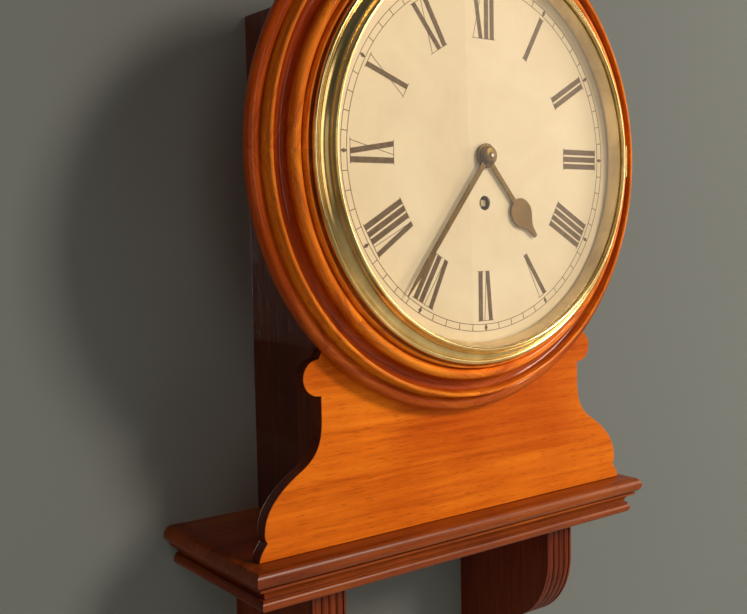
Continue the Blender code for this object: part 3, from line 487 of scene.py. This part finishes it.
def window_glass(name):
    """Clear glass that lets the lights through to the dial."""
    material, tree, shader = new_material(name)
    smear = noise(tree, object_point(tree), scale=18.0)
    tree.links.new(spread(tree, smear, (0.4, 0.8), (0.0, 0.025)), shader.inputs["Roughness"])
    shader.inputs["Base Color"].default_value = (0.985, 0.99, 0.98, 1)
    shader.inputs["Transmission Weight"].default_value = 1.0
    shader.inputs["IOR"].default_value = 1.46
    clear = node(tree, "ShaderNodeBsdfTransparent")
    shadow = node(tree, "ShaderNodeLightPath", output="Is Shadow Ray")
    diffuse = node(tree, "ShaderNodeLightPath", output="Is Diffuse Ray")
    passing = maths(tree, "MAXIMUM", shadow, diffuse)
    both = node(tree, "ShaderNodeMixShader", {0: passing, 1: shader.outputs[0], 2: clear})
    tree.links.new(both, tree.nodes["Material Output"].inputs["Surface"])
    return material


def studio_paint(name, colour, unevenness=1.05):
    """Matt paint, a little paler in places."""
    material, tree, shader = new_material(name)
    uneven = noise(tree, object_point(tree), scale=1.5, detail=2.0)
    stops = [(NOISE_SPAN[0], colour), (NOISE_SPAN[1], times(colour, unevenness))]
    tree.links.new(ramp(tree, uneven, stops), shader.inputs["Base Color"])
    shader.inputs["Roughness"].default_value = 0.9
    return material, tree, shader


def make_materials():
    def board(name, axis, tones, **polish):
        return mahogany(name, lambda tree: straight_grain(tree, axis), tones, **polish)

    # the turned ring's polish, with painted light and shade by radius
    turned = {"coat": 0.28, "coat_roughness": 0.09, "specular": 0.03, "painted_shading": turned_painted_shading}
    half_gloss = {"coat": 0.12, "coat_roughness": 0.2, "specular": 0.15}
    satin = {"coat_roughness": 0.28, "specular": 0.15}
    return {
        "ring": mahogany("ring_mahogany", segment_grain, RING_TONES, **turned),
        "panel": board("panel_mahogany", "X", PANEL_TONES, gloss=0.36, coat=0.03, specular=0.03),
        # darker case tones for the apron's sides: painted shade on its edges
        "panel_shaded_edge": board("panel_shaded_edge_mahogany", "X", CASE_TONES, gloss=0.5, coat=0.0, specular=0.1),
        "shelf_x": board("shelf_mahogany", "X", SHELF_TONES, coat=0.14, **satin),
        # the shelf's end mouldings take the darker bracket tones: painted shade on the shelf's sides
        "shelf_y": board("return_mahogany_shaded", "Y", BRACKET_TONES, coat=0.10, **satin),
        "bracket": board("bracket_mahogany", "Z", BRACKET_TONES, **half_gloss),
        "case": board("case_mahogany", "Z", CASE_TONES, coat=0.2),
        "inner": board("plain_mahogany", "Z", INNER_TONES, gloss=0.5, coat=0.0),
        "spun": brass("spun_brass", (0.86, 0.66, 0.30), (0.58, 0.40, 0.15), lathe_lines, 0.17),
        "sight": brass("sight_brass", (0.72, 0.57, 0.31), (0.50, 0.37, 0.17), lathe_lines, 0.30),
        "brass": brass("movement_brass", (0.80, 0.60, 0.27), (0.56, 0.38, 0.14), straight_lines, 0.26),
        "dull_brass": brass("dull_brass", (0.26, 0.22, 0.13), (0.16, 0.13, 0.07), straight_lines, 0.45),
        "steel": metal("polished_steel", STEEL_GREY, 0.30),
        "hand": metal("browned_steel", STEEL_BROWNED, 0.42),
        "dial": painted_dial("dial_paint"),
        "ink": ink("numeral_ink"),
        "glass": window_glass("window_glass"),
    }


# Surround, bezel and glass


def make_surround(materials):
    """Turned ring, from its bore outwards, with a pocket for the bezel's hinge."""
    bore, seat_radius, seat_depth = 0.1460, 0.1722, 0.1642
    torus_radius, torus_depth = 0.0062, 0.0064
    profile = [(bore, SURROUND_BACK), (bore, seat_depth), (seat_radius, seat_depth)]
    profile += arc((0.1733, 0.1668), 0.0011, 0.0011, 180, 0, 8)  # quirk bead
    profile += [(0.1745, 0.1662)]
    profile += arc((0.1797, 0.1590), 0.0047, 0.0066, 165, 0, 22)  # inner torus
    profile += arc((0.1905, 0.1575), 0.0055, 0.0050, 182, 352, 24)  # deep cove
    profile += [(0.1960, 0.1577)]
    profile += arc((0.1976, 0.1577), 0.0016, 0.0012, 170, 10, 10)  # ridge
    profile += [(0.1994, 0.1565), (0.1996, 0.1522), (0.2004, 0.1512)]  # fillets
    profile += arc((SURROUND_RADIUS - torus_radius, 0.1440), torus_radius, torus_depth, 140, -30, 26)
    profile += [(0.2098, SURROUND_BACK + 0.0006), (0.2092, SURROUND_BACK)]
    bm = bmesh.new()
    add_turned(bm, profile)
    ring = finished("surround_turned", bm, materials["ring"], "case", ["surround_ring"], 40)

    leaf_low, leaf_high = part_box("bezel_hinge_fixed_leaf")
    margin = 0.0012
    pocket = rectangle(0.1700, leaf_high.x + GAP, leaf_low.z - margin, leaf_high.z + margin)
    bm = bmesh.new()
    add_prism(bm, pocket, -leaf_high.y - 0.001, 0.180)
    cut_away(ring, bm, "hinge_pocket")


def make_bezel(materials):
    """Spun brass rim with its glass and sight ring."""
    edge = BEZEL_RADIUS
    glass_low, glass_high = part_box("bezel_glass")
    glass_back, glass_front = -glass_high.y, -glass_low.y
    front = -low("bezel", 1)
    bead = 0.0022
    profile = [(0.1616, BEZEL_BACK), (0.1616, 0.1667), (0.1586, 0.1667), (0.1586, glass_front + GAP)]
    profile += [(0.1564, glass_front + GAP), (0.1564, front - 0.0012)]
    profile += arc((0.1579, front - 0.0012), 0.0015, 0.0012, 180, 10, 12)  # raised inner rim
    profile += [(0.1598, front - 0.0020), (0.1600, front - 0.0027)]
    profile += bezier((0.1602, 0.1795), (0.1606, 0.1762), (0.1626, 0.1737), (0.1657, 0.1727), 16)  # cove
    profile += [(0.1662, 0.1721), (0.1666, 0.1721)]
    profile += arc((edge - bead, 0.1712), bead, bead, 155, 0, 16)  # outer bead
    profile += [(edge, BEZEL_BACK + 0.0003), (edge - 0.0003, BEZEL_BACK)]
    bm = bmesh.new()
    add_turned(bm, profile)
    finished("bezel_spun", bm, materials["spun"], "bezel", ["bezel"], 50)

    pane = high("bezel_glass", 0)
    ease = 0.0003
    profile = [(0, glass_back), (pane - ease, glass_back), (pane, glass_back + ease)]
    profile += [(pane, glass_front - ease), (pane - ease, glass_front), (0, glass_front)]
    bm = bmesh.new()
    add_turned(bm, profile, steps=128)
    finished("bezel_pane", bm, materials["glass"], "bezel", ["bezel_glass"])

    sight_back, sight_front = -high("sight_ring", 1), -low("sight_ring", 1)
    outer = high("sight_ring", 0)
    profile = [(outer, sight_back), (outer, sight_front), (0.1562, sight_front)]
    profile += bezier((0.1560, sight_front), (0.1552, 0.1745), (0.1545, 0.1705), (0.1531, 0.1676), 8)[1:]
    profile += arc((0.1533, 0.1673), 0.0005, 0.0003, 150, 270, 5)
    bm = bmesh.new()
    add_turned(bm, profile)
    finished("sight_ring_spun", bm, materials["sight"], "bezel", ["sight_ring"], 50)


# Dial: disc, numerals and minute track

DIAL_SHEET = 0.0015
CENTRE_HOLE, WINDING_HOLE = 0.0066, 0.0060  # radii
DIAL_FEET = ((-0.060, 0.058), (0.040, 0.058), (0.040, -0.066), (-0.020, -0.074))
RAISED = 0.00012  # how far painted marks stand out from the dial
NUMERAL_INNER, NUMERAL_OUTER = 0.0945, 0.1354
TRACK_INNER, TRACK_OUTER = 0.1385, 0.1440
TRACK_LINE = 0.0005
THICK, THIN = 0.0046, 0.0005
SERIF = 0.0010
LETTER_WIDTH = {"I": 0.0046, "V": 0.0098, "X": 0.0112}
LETTER_GAP = 0.0016
NUMERALS = ["I", "II", "III", "IIII", "V", "VI", "VII", "VIII", "IX", "X", "XI", "XII"]


def stroke(inner, outer, width):
    """A stroke's (across, outward) corners, from where its middle lies at the inner and outer end."""
    half = width / 2
    return [
        (inner - half, NUMERAL_INNER),
        (outer - half, NUMERAL_OUTER),
        (outer + half, NUMERAL_OUTER),
        (inner + half, NUMERAL_INNER),
    ]


def letter_strokes(letter, left):
    """A letter's thick stroke, its thin one, and its hairline serifs."""
    width = LETTER_WIDTH[letter]
    right = left + width
    half = THICK / 2
    slanted = THICK * 0.92
    bars = [(left - SERIF, right + SERIF, NUMERAL_OUTER), (left - SERIF, right + SERIF, NUMERAL_INNER)]
    if letter == "I":
        strokes = [stroke(left + half, left + half, THICK)]
    elif letter == "V":
        point = left + 0.60 * width
        strokes = [stroke(point, left + half, slanted), stroke(point + half * 0.6, right - THIN, THIN)]
        bars[1] = (point - half, point + half, NUMERAL_INNER)
    else:
        strokes = [stroke(right - half, left + half, slanted), stroke(left + THIN, right - THIN, THIN)]
    for start, end, height in bars:
        under, over = height - THIN / 2, height + THIN / 2
        strokes.append([(start, under), (start, over), (end, over), (end, under)])
    return strokes


def numeral_outlines(text, angle):
    total = sum(LETTER_WIDTH[letter] for letter in text) + LETTER_GAP * (len(text) - 1)
    left = -total / 2
    outlines = []
    for letter in text:
        outlines += [turned_to(outline, angle) for outline in letter_strokes(letter, left)]
        left += LETTER_WIDTH[letter] + LETTER_GAP
    return outlines


def make_dial_disc(materials):
    """Sheet with its two holes, and the feet that stand on the movement."""
    back = DIAL_FRONT - DIAL_SHEET
    foot = -high("dial", 1)
    holes = [circle((0, 0), CENTRE_HOLE, 48), circle((0, -WINDING_DROP), WINDING_HOLE, 48)]
    bm = bmesh.new()
    add_prism(bm, circle((0, 0), DIAL_RADIUS, 160), back, DIAL_FRONT, holes=holes)
    for centre in DIAL_FEET:
        profile = [(0, foot), (0.0026, foot), (0.0026, foot + 0.003), (0.0035, foot + 0.004)]
        profile += [(0.0035, back - 0.003), (0.0055, back), (0, back)]
        add_turned(bm, profile, centre, steps=32)
    finished("dial_disc", bm, materials["dial"], "case", ["dial"])


def make_dial_marks(materials):
    back, front = DIAL_FRONT - RAISED, DIAL_FRONT + RAISED
    bm = bmesh.new()
    for hour, text in enumerate(NUMERALS, 1):
        for outline in numeral_outlines(text, hour * pi / 6):
            add_prism(bm, outline, back, front)
    finished("dial_numerals", bm, materials["ink"], "case")

    bm = bmesh.new()
    for radius in (TRACK_INNER, TRACK_OUTER):
        near, far = radius - TRACK_LINE / 2, radius + TRACK_LINE / 2
        add_turned(bm, [(near, back), (far, back), (far, front), (near, front)])
    for minute in range(60):
        angle = minute * pi / 30
        if minute % 5:
            mark = rectangle(-0.0003, 0.0003, TRACK_INNER, TRACK_OUTER)
        else:
            start, end = TRACK_INNER - 0.0006, TRACK_OUTER + 0.0006
            middle = (start + end) / 2
            mark = [(0, start), (0.0017, middle), (0, end), (-0.0017, middle)]
        add_prism(bm, turned_to(mark, angle), back, front)
    finished("dial_minute_track", bm, materials["ink"], "case")


# Hands

HOUR_BLADE = (0.1680, 0.1689)  # depths of the blades' backs and fronts
MINUTE_BLADE = (0.1706, 0.1715)


def add_hand_piece(name, bm, material, body, replaces=()):
    """A piece of a hand, in the given material."""
    piece = finished(name, bm, material, body, replaces)
    return piece


def make_blade(hand, right, angle, depths, material, body):
    """Flat blade from the (across, outward) points of its right half. It stands for the hand's CAD node."""
    bm = bmesh.new()
    add_prism(bm, turned_to(right + mirrored(right), angle), *depths)
    rounded(add_hand_piece(f"{hand}_blade", bm, material, body, [hand]), 0.0003, 2, 50)


def make_boss(hand, bore, radius, ease, edge, material, body):
    """Turned disc around the arbor, with an eased back edge and a rounded front edge."""
    back, front = -high(hand, 1), -low(hand, 1)
    profile = [(bore, back), (radius - ease, back), (radius, back + ease), (radius, front - edge)]
    profile += arc((radius - edge, front - edge), edge, edge, 0, 90, 5) + [(bore, front)]
    bm = bmesh.new()
    add_turned(bm, profile, steps=64)
    add_hand_piece(f"{hand}_boss", bm, material, body)


def make_hour_hand(material):
    right = [(0.0023, 0.008), (0.0021, 0.030), (0.0022, 0.0483)]
    right += bezier((0.0030, 0.0493), (0.0086, 0.0502), (0.0115, 0.0560), (0.0115, 0.0622), 14)
    right += bezier((0.0115, 0.0622), (0.0114, 0.0705), (0.0048, 0.0718), (0.0028, 0.0803), 14)[1:]
    right += [(0.0020, 0.0873), (0.0014, 0.0880)]
    make_blade("hour_hand", right, HOUR_HAND_ANGLE, HOUR_BLADE, material, "hour")
    make_boss("hour_hand", 0.0046, 0.0100, 0.0004, 0.0008, material, "hour")


def make_minute_hand(material):
    right = [(0.0025, 0.006), (0.0023, 0.060), (0.0021, 0.108), (0.0017, 0.124), (0.0004, 0.1409)]
    make_blade("minute_hand", right, MINUTE_HAND_ANGLE, MINUTE_BLADE, material, "centre")
    make_boss("minute_hand", 0.0031, 0.0084, 0.0003, 0.0006, material, "centre")


def make_collet(material):
    """Domed collet in front of the minute hand."""
    bore, base_radius, dome_radius = 0.0021, 0.0075, 0.0045
    back, front = -high("hand_collet", 1), -low("hand_collet", 1)
    base = back + 0.0004
    profile = [(bore, back), (base_radius, back), (base_radius, base)]
    profile += arc((base_radius - dome_radius, base), dome_radius, front - base, 0, 80, 12)
    profile += [(bore, front)]
    bm = bmesh.new()
    add_turned(bm, profile, steps=64)
    add_hand_piece("hand_collet_dome", bm, material, "centre", ["hand_collet"])


# Apron, shelf, mouldings and brackets


def make_apron(materials):
    """Shaped board: cusp at the shelf, swept flare, neck, and a round ear on each side."""
    base, top = low("apron_board", 2), high("apron_board", 2)
    cusp, heel, flare, neck = (0.1970, -0.2915), (0.1990, -0.2830), (0.1650, -0.2415), 0.1458
    ear_centre, ear_radius = (0.1475, -0.1715), 0.0145
    right = bezier((0.2045, base), (0.2030, -0.2985), (0.2000, -0.2960), cusp, 10)
    right += bezier(cusp, (0.1992, -0.2890), (0.1994, -0.2860), heel, 5)[1:]
    right += bezier(heel, (0.1982, -0.2665), (0.1850, -0.2533), flare, 22)[1:]
    right += bezier(flare, (0.1520, -0.2335), (neck, -0.2240), (neck, -0.2030), 22)[1:]
    right += [(neck, -0.1861)]
    right += arc(ear_centre, ear_radius, ear_radius, -90, 90, 40)
    right += [(0.1440, top)]
    back, front = -high("apron_board", 1), -low("apron_board", 1)
    bm = bmesh.new()
    add_prism(bm, right + mirrored(right), back, front)
    panel = finished("apron_panel", bm, materials["panel"], "case", ["apron_board"], 40)
    # the board's sideways faces take the darker case tones: painted shade on its edges
    panel.data.materials.append(materials["panel_shaded_edge"])
    for face in panel.data.polygons:
        faces_sideways = abs(face.normal.y) < 0.5
        face.material_index = int(faces_sideways)
    rounded(panel, 0.0006, 3, 60)


def make_shelf(materials):
    """Shelf with a full round nose on its front and ends."""
    nose = (SHELF_TOP - SHELF_UNDER) / 2
    middle = (SHELF_TOP + SHELF_UNDER) / 2
    bm = bmesh.new()
    loops = []
    for out, rise in arc((0, 0), nose, nose, 90, -90, 28):
        half_width = SHELF_HALF_WIDTH - nose + out
        outline = rectangle(-half_width, half_width, 0, SHELF_DEPTH - nose + out)
        loops.append([bm.verts.new(at("Z", x, depth, middle + rise)) for x, depth in outline])
    for near, far in zip(loops, loops[1:]):
        for k in range(4):
            following = (k + 1) % 4
            bm.faces.new((near[k], near[following], far[following], far[k]))
    bm.faces.new(loops[0])
    bm.faces.new(loops[-1])
    finished("shelf_plank", bm, materials["shelf_x"], "case", ["shelf_board"], 45)


MOULDING_WIDTH = 0.022
MOULDING_REACH = 0.0035  # how far the top fillet stands out past the moulding's face


def moulding_profile(top, bottom):
    """Section as (offset from the face, z): flat back, fillet, cove, fillet and ovolo, going down."""
    cove_width, cove_height = 0.0075, 0.0080
    ovolo_width, ovolo_height = 0.0040, 0.0045
    points = [(-MOULDING_WIDTH, top), (MOULDING_REACH, top), (MOULDING_REACH, top - 0.0020)]
    points += arc((MOULDING_REACH, top - 0.0100), cove_width, cove_height, 90, 180, 16)
    points += [(-0.0012, top - 0.0102), (-0.0012, top - 0.0108)]
    points += arc((-ovolo_width, bottom + ovolo_height), ovolo_width, ovolo_height, 70, -90, 16)
    points += [(-MOULDING_WIDTH, bottom)]
    return points


def make_mouldings(materials):
    top, bottom = high("shelf_moulding_front", 2), low("shelf_moulding_front", 2)
    half_width = high("shelf_moulding_front", 0) - MOULDING_REACH
    depth = -low("shelf_moulding_front", 1) - MOULDING_REACH
    profile = moulding_profile(top, bottom)

    def front_corner(side):
        return lambda offset, z: (side * (half_width + offset), -(depth + offset), z)

    def side_corner(side):
        return lambda offset, z: (side * (half_width + offset), -(depth + offset - 2 * GAP), z)

    def wall_end(side):
        return lambda offset, z: (side * (half_width + offset), 0, z)

    strips = [
        ("front", front_corner(-1), front_corner(1), "shelf_x"),
        # the end strips use the darker tones: painted shade on the shelf's sides
        ("left", side_corner(-1), wall_end(-1), "shelf_y"),
        ("right", side_corner(1), wall_end(1), "shelf_y"),
    ]
    for label, start, end, wood in strips:
        bm = bmesh.new()
        loops = [[bm.verts.new(place(offset, z)) for offset, z in profile] for place in (start, end)]
        for k in range(len(profile)):
            following = (k + 1) % len(profile)
            bm.faces.new((loops[0][k], loops[0][following], loops[1][following], loops[1][k]))
        triangles = tessellate_polygon([[Vector((offset, z, 0)) for offset, z in profile]])
        for loop in loops:
            for triangle in triangles:
                bm.faces.new([loop[k] for k in triangle])
        finished(f"shelf_trim_{label}", bm, materials[wood], "case", [f"shelf_moulding_{label}"], 35)


REEDS = 4
REED_DEPTH = 0.0019
REED_MARGIN = 0.0020


def reed_offsets(width):
    """Positions across a bracket's front, each with how far a reed's surface lies below it (0 to 1)."""
    each = (width - 2 * REED_MARGIN) / REEDS
    points = [(0.0, 0.0), (REED_MARGIN, 0.0)]
    for k in range(REEDS):
        for j in range(0 if k == 0 else 1, 11):
            across = cos(pi * (1 - j / 10))
            points.append((REED_MARGIN + each * (k + 0.5 + across / 2), 1 - (1 - across * across) ** 0.5))
    points += [(width - REED_MARGIN, 0.0), (width, 0.0)]
    return points


def bracket_path(top, bottom, depth):
    """Side view as (depth, z, share of the reeds' depth): front, quarter-round foot, step, tail and toe."""
    foot_top, foot_height, foot_steps = -0.378, 0.0705, 30
    fade_steps = 3  # the reeds run out over the last steps of the foot
    tail_depth, tail_top = 0.054, -0.460
    toe_width, toe_height = 0.014, 0.016
    path = [(0, top, 0), (depth, top, 1)]
    path += [(depth, z, 1) for z in (-0.340, -0.360)]
    round_foot = arc((tail_depth, foot_top), depth - tail_depth, foot_height, 0, -90, foot_steps)
    path += [(d, z, min(1, (foot_steps - k) / fade_steps)) for k, (d, z) in enumerate(round_foot)]
    path += [(tail_depth, tail_top, 0)]
    tail = bezier((tail_depth, tail_top), (0.053, -0.494), (0.028, -0.488), (0.024, -0.518), 18)[1:]
    toe = arc((0.010, bottom + toe_height), toe_width, toe_height, 5, -90, 12)
    return path + [(d, z, 0) for d, z in tail + toe] + [(0, bottom, 0)]


def make_bracket(name, materials):
    corner_low, corner_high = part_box(f"bracket_{name}")
    path = bracket_path(corner_high.z, corner_low.z, -corner_low.y)
    columns = reed_offsets(corner_high.x - corner_low.x)
    bm = bmesh.new()
    rows = []
    for k, (depth, z, share) in enumerate(path):
        inward = Vector((0, 0))
        if share:
            before, after = path[max(k - 1, 1)], path[min(k + 1, len(path) - 1)]
            inward = Vector((before[1] - after[1], after[0] - before[0])).normalized()
        row = []
        for across, drop in columns:
            sink = inward * (REED_DEPTH * drop * share)
            row.append(bm.verts.new((corner_low.x + across, -(depth - abs(sink.x)), z + abs(sink.y))))
        rows.append(row)
    for near, far in zip(rows, rows[1:] + rows[:1]):
        for k in range(len(columns) - 1):
            bm.faces.new((near[k], near[k + 1], far[k + 1], far[k]))
    triangles = tessellate_polygon([[Vector((depth, z, 0)) for depth, z, _ in path]])
    for column in (0, -1):
        for triangle in triangles:
            bm.faces.new([rows[k][column] for k in triangle])
    finished(f"bracket_{name}_reeded", bm, materials["bracket"], "case", [f"bracket_{name}"], 38)


# Case, door and small fittings

SPINDLE_RADIUS = 0.0018


def make_case(materials):
    for node_name in ("case_side_left", "case_side_right", "case_top"):
        softened(node_name, f"{node_name}_board", "case", materials["case"], 0.0008)
    for node_name in ("case_back", "case_bottom", "batten_left", "batten_right"):
        softened(node_name, f"{node_name}_board", "case", materials["inner"], 0.0006)
    for side in ("left", "right"):
        for level in ("lower", "upper"):
            name = f"peg_{side}_{level}"
            softened(name, f"{name}_tapered", "case", materials["inner"], 0.0004)
    softened("side_door", "side_door_panel", "side_door", materials["case"], 0.0007)


def make_door_catch(materials):
    """Turned brass knob with its spindle, and the tongue inside the door."""
    pivot = next(joint for joint in frame["joints"] if joint["name"] == "side_door_catch_turn")["pos_m"]
    depth, height = -pivot[1], pivot[2]
    catch_low, catch_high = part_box("side_door_catch")
    inner, end = catch_low.x, catch_high.x
    face = pivot[0] + 0.0006
    neck = [(0.0026, 0.0014), (0.0024, 0.0040), (0.0040, 0.0050), (0.0060, 0.0060)]
    brow = face + 0.0072
    profile = [(0, inner), (SPINDLE_RADIUS, inner), (SPINDLE_RADIUS, face)]
    profile += [(0.0034, face), (0.0034, face + 0.0008)]
    profile += bezier(*[(radius, face + rise) for radius, rise in neck], 8)
    profile += arc((0.0, brow), 0.0062, end - brow, 0, 80, 10) + [(0, end)]
    bm = bmesh.new()
    add_turned(bm, profile, (depth, height), "X", 48)
    half = 0.0035
    tongue = rectangle(depth - half, depth + half, height - 0.0180, height + half)
    add_prism(bm, tongue, inner + 0.0008, inner + 0.0030, "X")
    finished("side_door_knob", bm, materials["brass"], "side_door_catch", ["side_door_catch"], 40)


def make_bob(materials):
    """Brass-faced bob with a rolled rim, bored for the rod."""
    corner_low, corner_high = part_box("pendulum_bob")
    middle = (corner_low + corner_high) / 2
    radius = (corner_high.x - corner_low.x) / 2
    half = (corner_high.y - corner_low.y) / 2
    depth = -middle.y
    rim = 0.0012
    side = arc((0, 0), radius - rim, half, 86, 12, 20) + arc((radius - rim, 0), rim, 0.0016, 80, 0, 5)
    profile = [(0, depth + half)] + [(r, depth + rise) for r, rise in side]
    profile += [(r, depth - rise) for r, rise in reversed(side[:-1])] + [(0, depth - half)]
    bm = bmesh.new()
    add_turned(bm, profile, (middle.x, middle.z), steps=96)
    bob = finished("pendulum_bob_polished", bm, materials["brass"], "bob", ["pendulum_bob"], 45)
    bore, under, over = 0.002, middle.z - 0.05, middle.z + 0.05
    bm = bmesh.new()
    add_turned(bm, [(0, under), (bore, under), (bore, over), (0, over)], (middle.x, depth), "Z", 32)
    cut_away(bob, bm, "bob_bore")


def dress_plain_nodes(materials):
    """Gives the remaining CAD nodes their material, by the record's slot."""
    by_slot = {"brass": "brass", "steel": "steel", "mahogany": "inner", "hand_steel": "hand"}
    slots = {entry["node"]: entry["material_slot"] for entry in frame["record"]["subparts"]}
    for name, cad_node in frame["nodes"].items():
        material = materials["dull_brass" if name == "fusee" else by_slot.get(slots[name], "brass")]
        cad_node.data.materials.clear()
        cad_node.data.materials.append(material)


# Studio

CAMERA_PLACE = Vector((-0.571, -0.772, -0.060))
CAMERA_YAW, CAMERA_PITCH, CAMERA_ROLL = radians(36.91), radians(-4.32), radians(-1.06)
CAMERA_LENS, CAMERA_SENSOR = 48.2, 36  # millimetres
WALL_GAP = 0.001  # keeps the wall just clear of the case's back
RING_COVER = SURROUND_RADIUS - 0.0140  # radius and half widths of the wall that the clock hides
CASE_COVER = high("case_top", 0) - 0.001
SHELF_COVER = 0.2
NECK_HEIGHT = -0.235  # below this the apron and shelf hide more of the wall than the case does
WARM = (1.0, 0.86, 0.70)
NEAR_WHITE = (1.0, 0.95, 0.88)
LIGHTS = [  # name, place, width and height, watts, colour
    ("key", (1.87, -3.25, 1.75), (0.9, 0.9), 106, WARM),
    ("side", (2.6, -1.4, 0.3), (0.8, 1.2), 28, WARM),
    ("front", (1.3, -2.0, 0.0), (1.6, 1.4), 3.4, WARM),
    ("left", (-0.9, -2.3, 0.3), (0.7, 1.8), 9.0, WARM),
    ("right", (1.6, -0.9, 0.0), (1.5, 1.5), 3.0, WARM),
    ("left_fill", (-1.8, -0.9, 0.0), (1.2, 1.2), 2.5, WARM),
    ("low", (0.5, -2.2, -1.1), (1.0, 0.7), 2.5, WARM),
    ("behind", (0.0, 9.0, -0.1), (0.6, 0.6), 600, NEAR_WHITE),
]
SKY_COLOUR = (0.95, 0.97, 1.0)
SKY_STRENGTH = 0.06


def make_camera():
    forward = Vector((
        sin(CAMERA_YAW) * cos(CAMERA_PITCH),
        cos(CAMERA_YAW) * cos(CAMERA_PITCH),
        sin(CAMERA_PITCH),
    ))
    level = Vector((cos(CAMERA_YAW), -sin(CAMERA_YAW), 0))
    upright = level.cross(forward)
    right = level * cos(CAMERA_ROLL) + upright * sin(CAMERA_ROLL)
    up = upright * cos(CAMERA_ROLL) - level * sin(CAMERA_ROLL)
    camera = bpy.data.objects.new("camera", bpy.data.cameras.new("camera"))
    camera.data.sensor_width = CAMERA_SENSOR
    camera.data.lens = CAMERA_LENS
    turn = Matrix((right, up, -forward)).transposed()
    camera.matrix_world = Matrix.Translation(CAMERA_PLACE) @ turn.to_4x4()
    bpy.context.scene.collection.objects.link(camera)
    bpy.context.scene.camera = camera


def add_light(name, place, size, power, colour):
    light = bpy.data.lights.new(name, "AREA")
    light.shape = "RECTANGLE"
    light.size, light.size_y = size
    light.energy = power
    light.color = colour
    lamp = bpy.data.objects.new(name, light)
    lamp.location = place
    lamp.rotation_euler = (Vector(AIM) - Vector(place)).to_track_quat("-Z", "Y").to_euler()
    bpy.context.scene.collection.objects.link(lamp)


def wall_paint(name, colour):
    """Matt paint on the room's side only. Behind the clock it lets light through to the clock's back."""
    material, tree, shader = studio_paint(name, colour, 1.06)
    shader.inputs["Specular IOR Level"].default_value = 0.2
    x, _, z = coordinate_parts(tree)
    across = maths(tree, "ABSOLUTE", x)
    behind_ring = maths(tree, "LESS_THAN", axis_radius(tree, x, z), RING_COVER)
    behind_case = maths(tree, "LESS_THAN", across, CASE_COVER)
    below_neck = maths(tree, "LESS_THAN", z, NECK_HEIGHT)
    behind_shelf = maths(tree, "MULTIPLY", below_neck, maths(tree, "LESS_THAN", across, SHELF_COVER))
    behind_clock = maths(tree, "MAXIMUM", maths(tree, "MAXIMUM", behind_ring, behind_case), behind_shelf)
    shadow = node(tree, "ShaderNodeLightPath", output="Is Shadow Ray")
    reverse = node(tree, "ShaderNodeNewGeometry", output="Backfacing")
    see_through = maths(tree, "MAXIMUM", reverse, maths(tree, "MULTIPLY", shadow, behind_clock))
    clear = node(tree, "ShaderNodeBsdfTransparent")
    both = node(tree, "ShaderNodeMixShader", {0: see_through, 1: shader.outputs[0], 2: clear})
    tree.links.new(both, tree.nodes["Material Output"].inputs["Surface"])
    return material


def add_stage_sheet(name, corners, material):
    mesh = bpy.data.meshes.new(name)
    mesh.from_pydata(corners, [], [range(len(corners))])
    mesh.materials.append(material)
    sheet = bpy.data.objects.new(name, mesh)
    bpy.context.scene.collection.objects.link(sheet)


def make_studio():
    """The wall that the clock hangs on, a pale floor far below, and soft lights."""
    side, top, ground, reach = 6.0, 4.0, -1.5, 7.0
    wall = [(x, WALL_GAP, z) for x, z in rectangle(-side, side, ground, top)]
    floor = [(x, y, ground) for x, y in rectangle(-side, side, -reach, reach)]
    add_stage_sheet("wall", wall, wall_paint("wall_paint", WALL_COLOUR))
    add_stage_sheet("floor", floor, studio_paint("floor_paint", FLOOR_COLOUR)[0])
    for light in LIGHTS:
        add_light(*light)
    world = bpy.data.worlds.new("studio")
    world.use_nodes = True
    background = world.node_tree.nodes["Background"]
    background.inputs["Color"].default_value = (*SKY_COLOUR, 1)
    background.inputs["Strength"].default_value = SKY_STRENGTH
    bpy.context.scene.world = world
    bpy.context.scene.view_settings.view_transform = "Standard"


def main():
    materials = make_materials()
    dress_plain_nodes(materials)
    make_surround(materials)
    make_bezel(materials)
    make_dial_disc(materials)
    make_dial_marks(materials)
    make_hour_hand(materials["hand"])
    make_minute_hand(materials["hand"])
    make_collet(materials["hand"])
    make_apron(materials)
    make_shelf(materials)
    make_mouldings(materials)
    make_bracket("left", materials)
    make_bracket("right", materials)
    make_case(materials)
    make_door_catch(materials)
    make_bob(materials)
    make_camera()
    make_studio()


main()
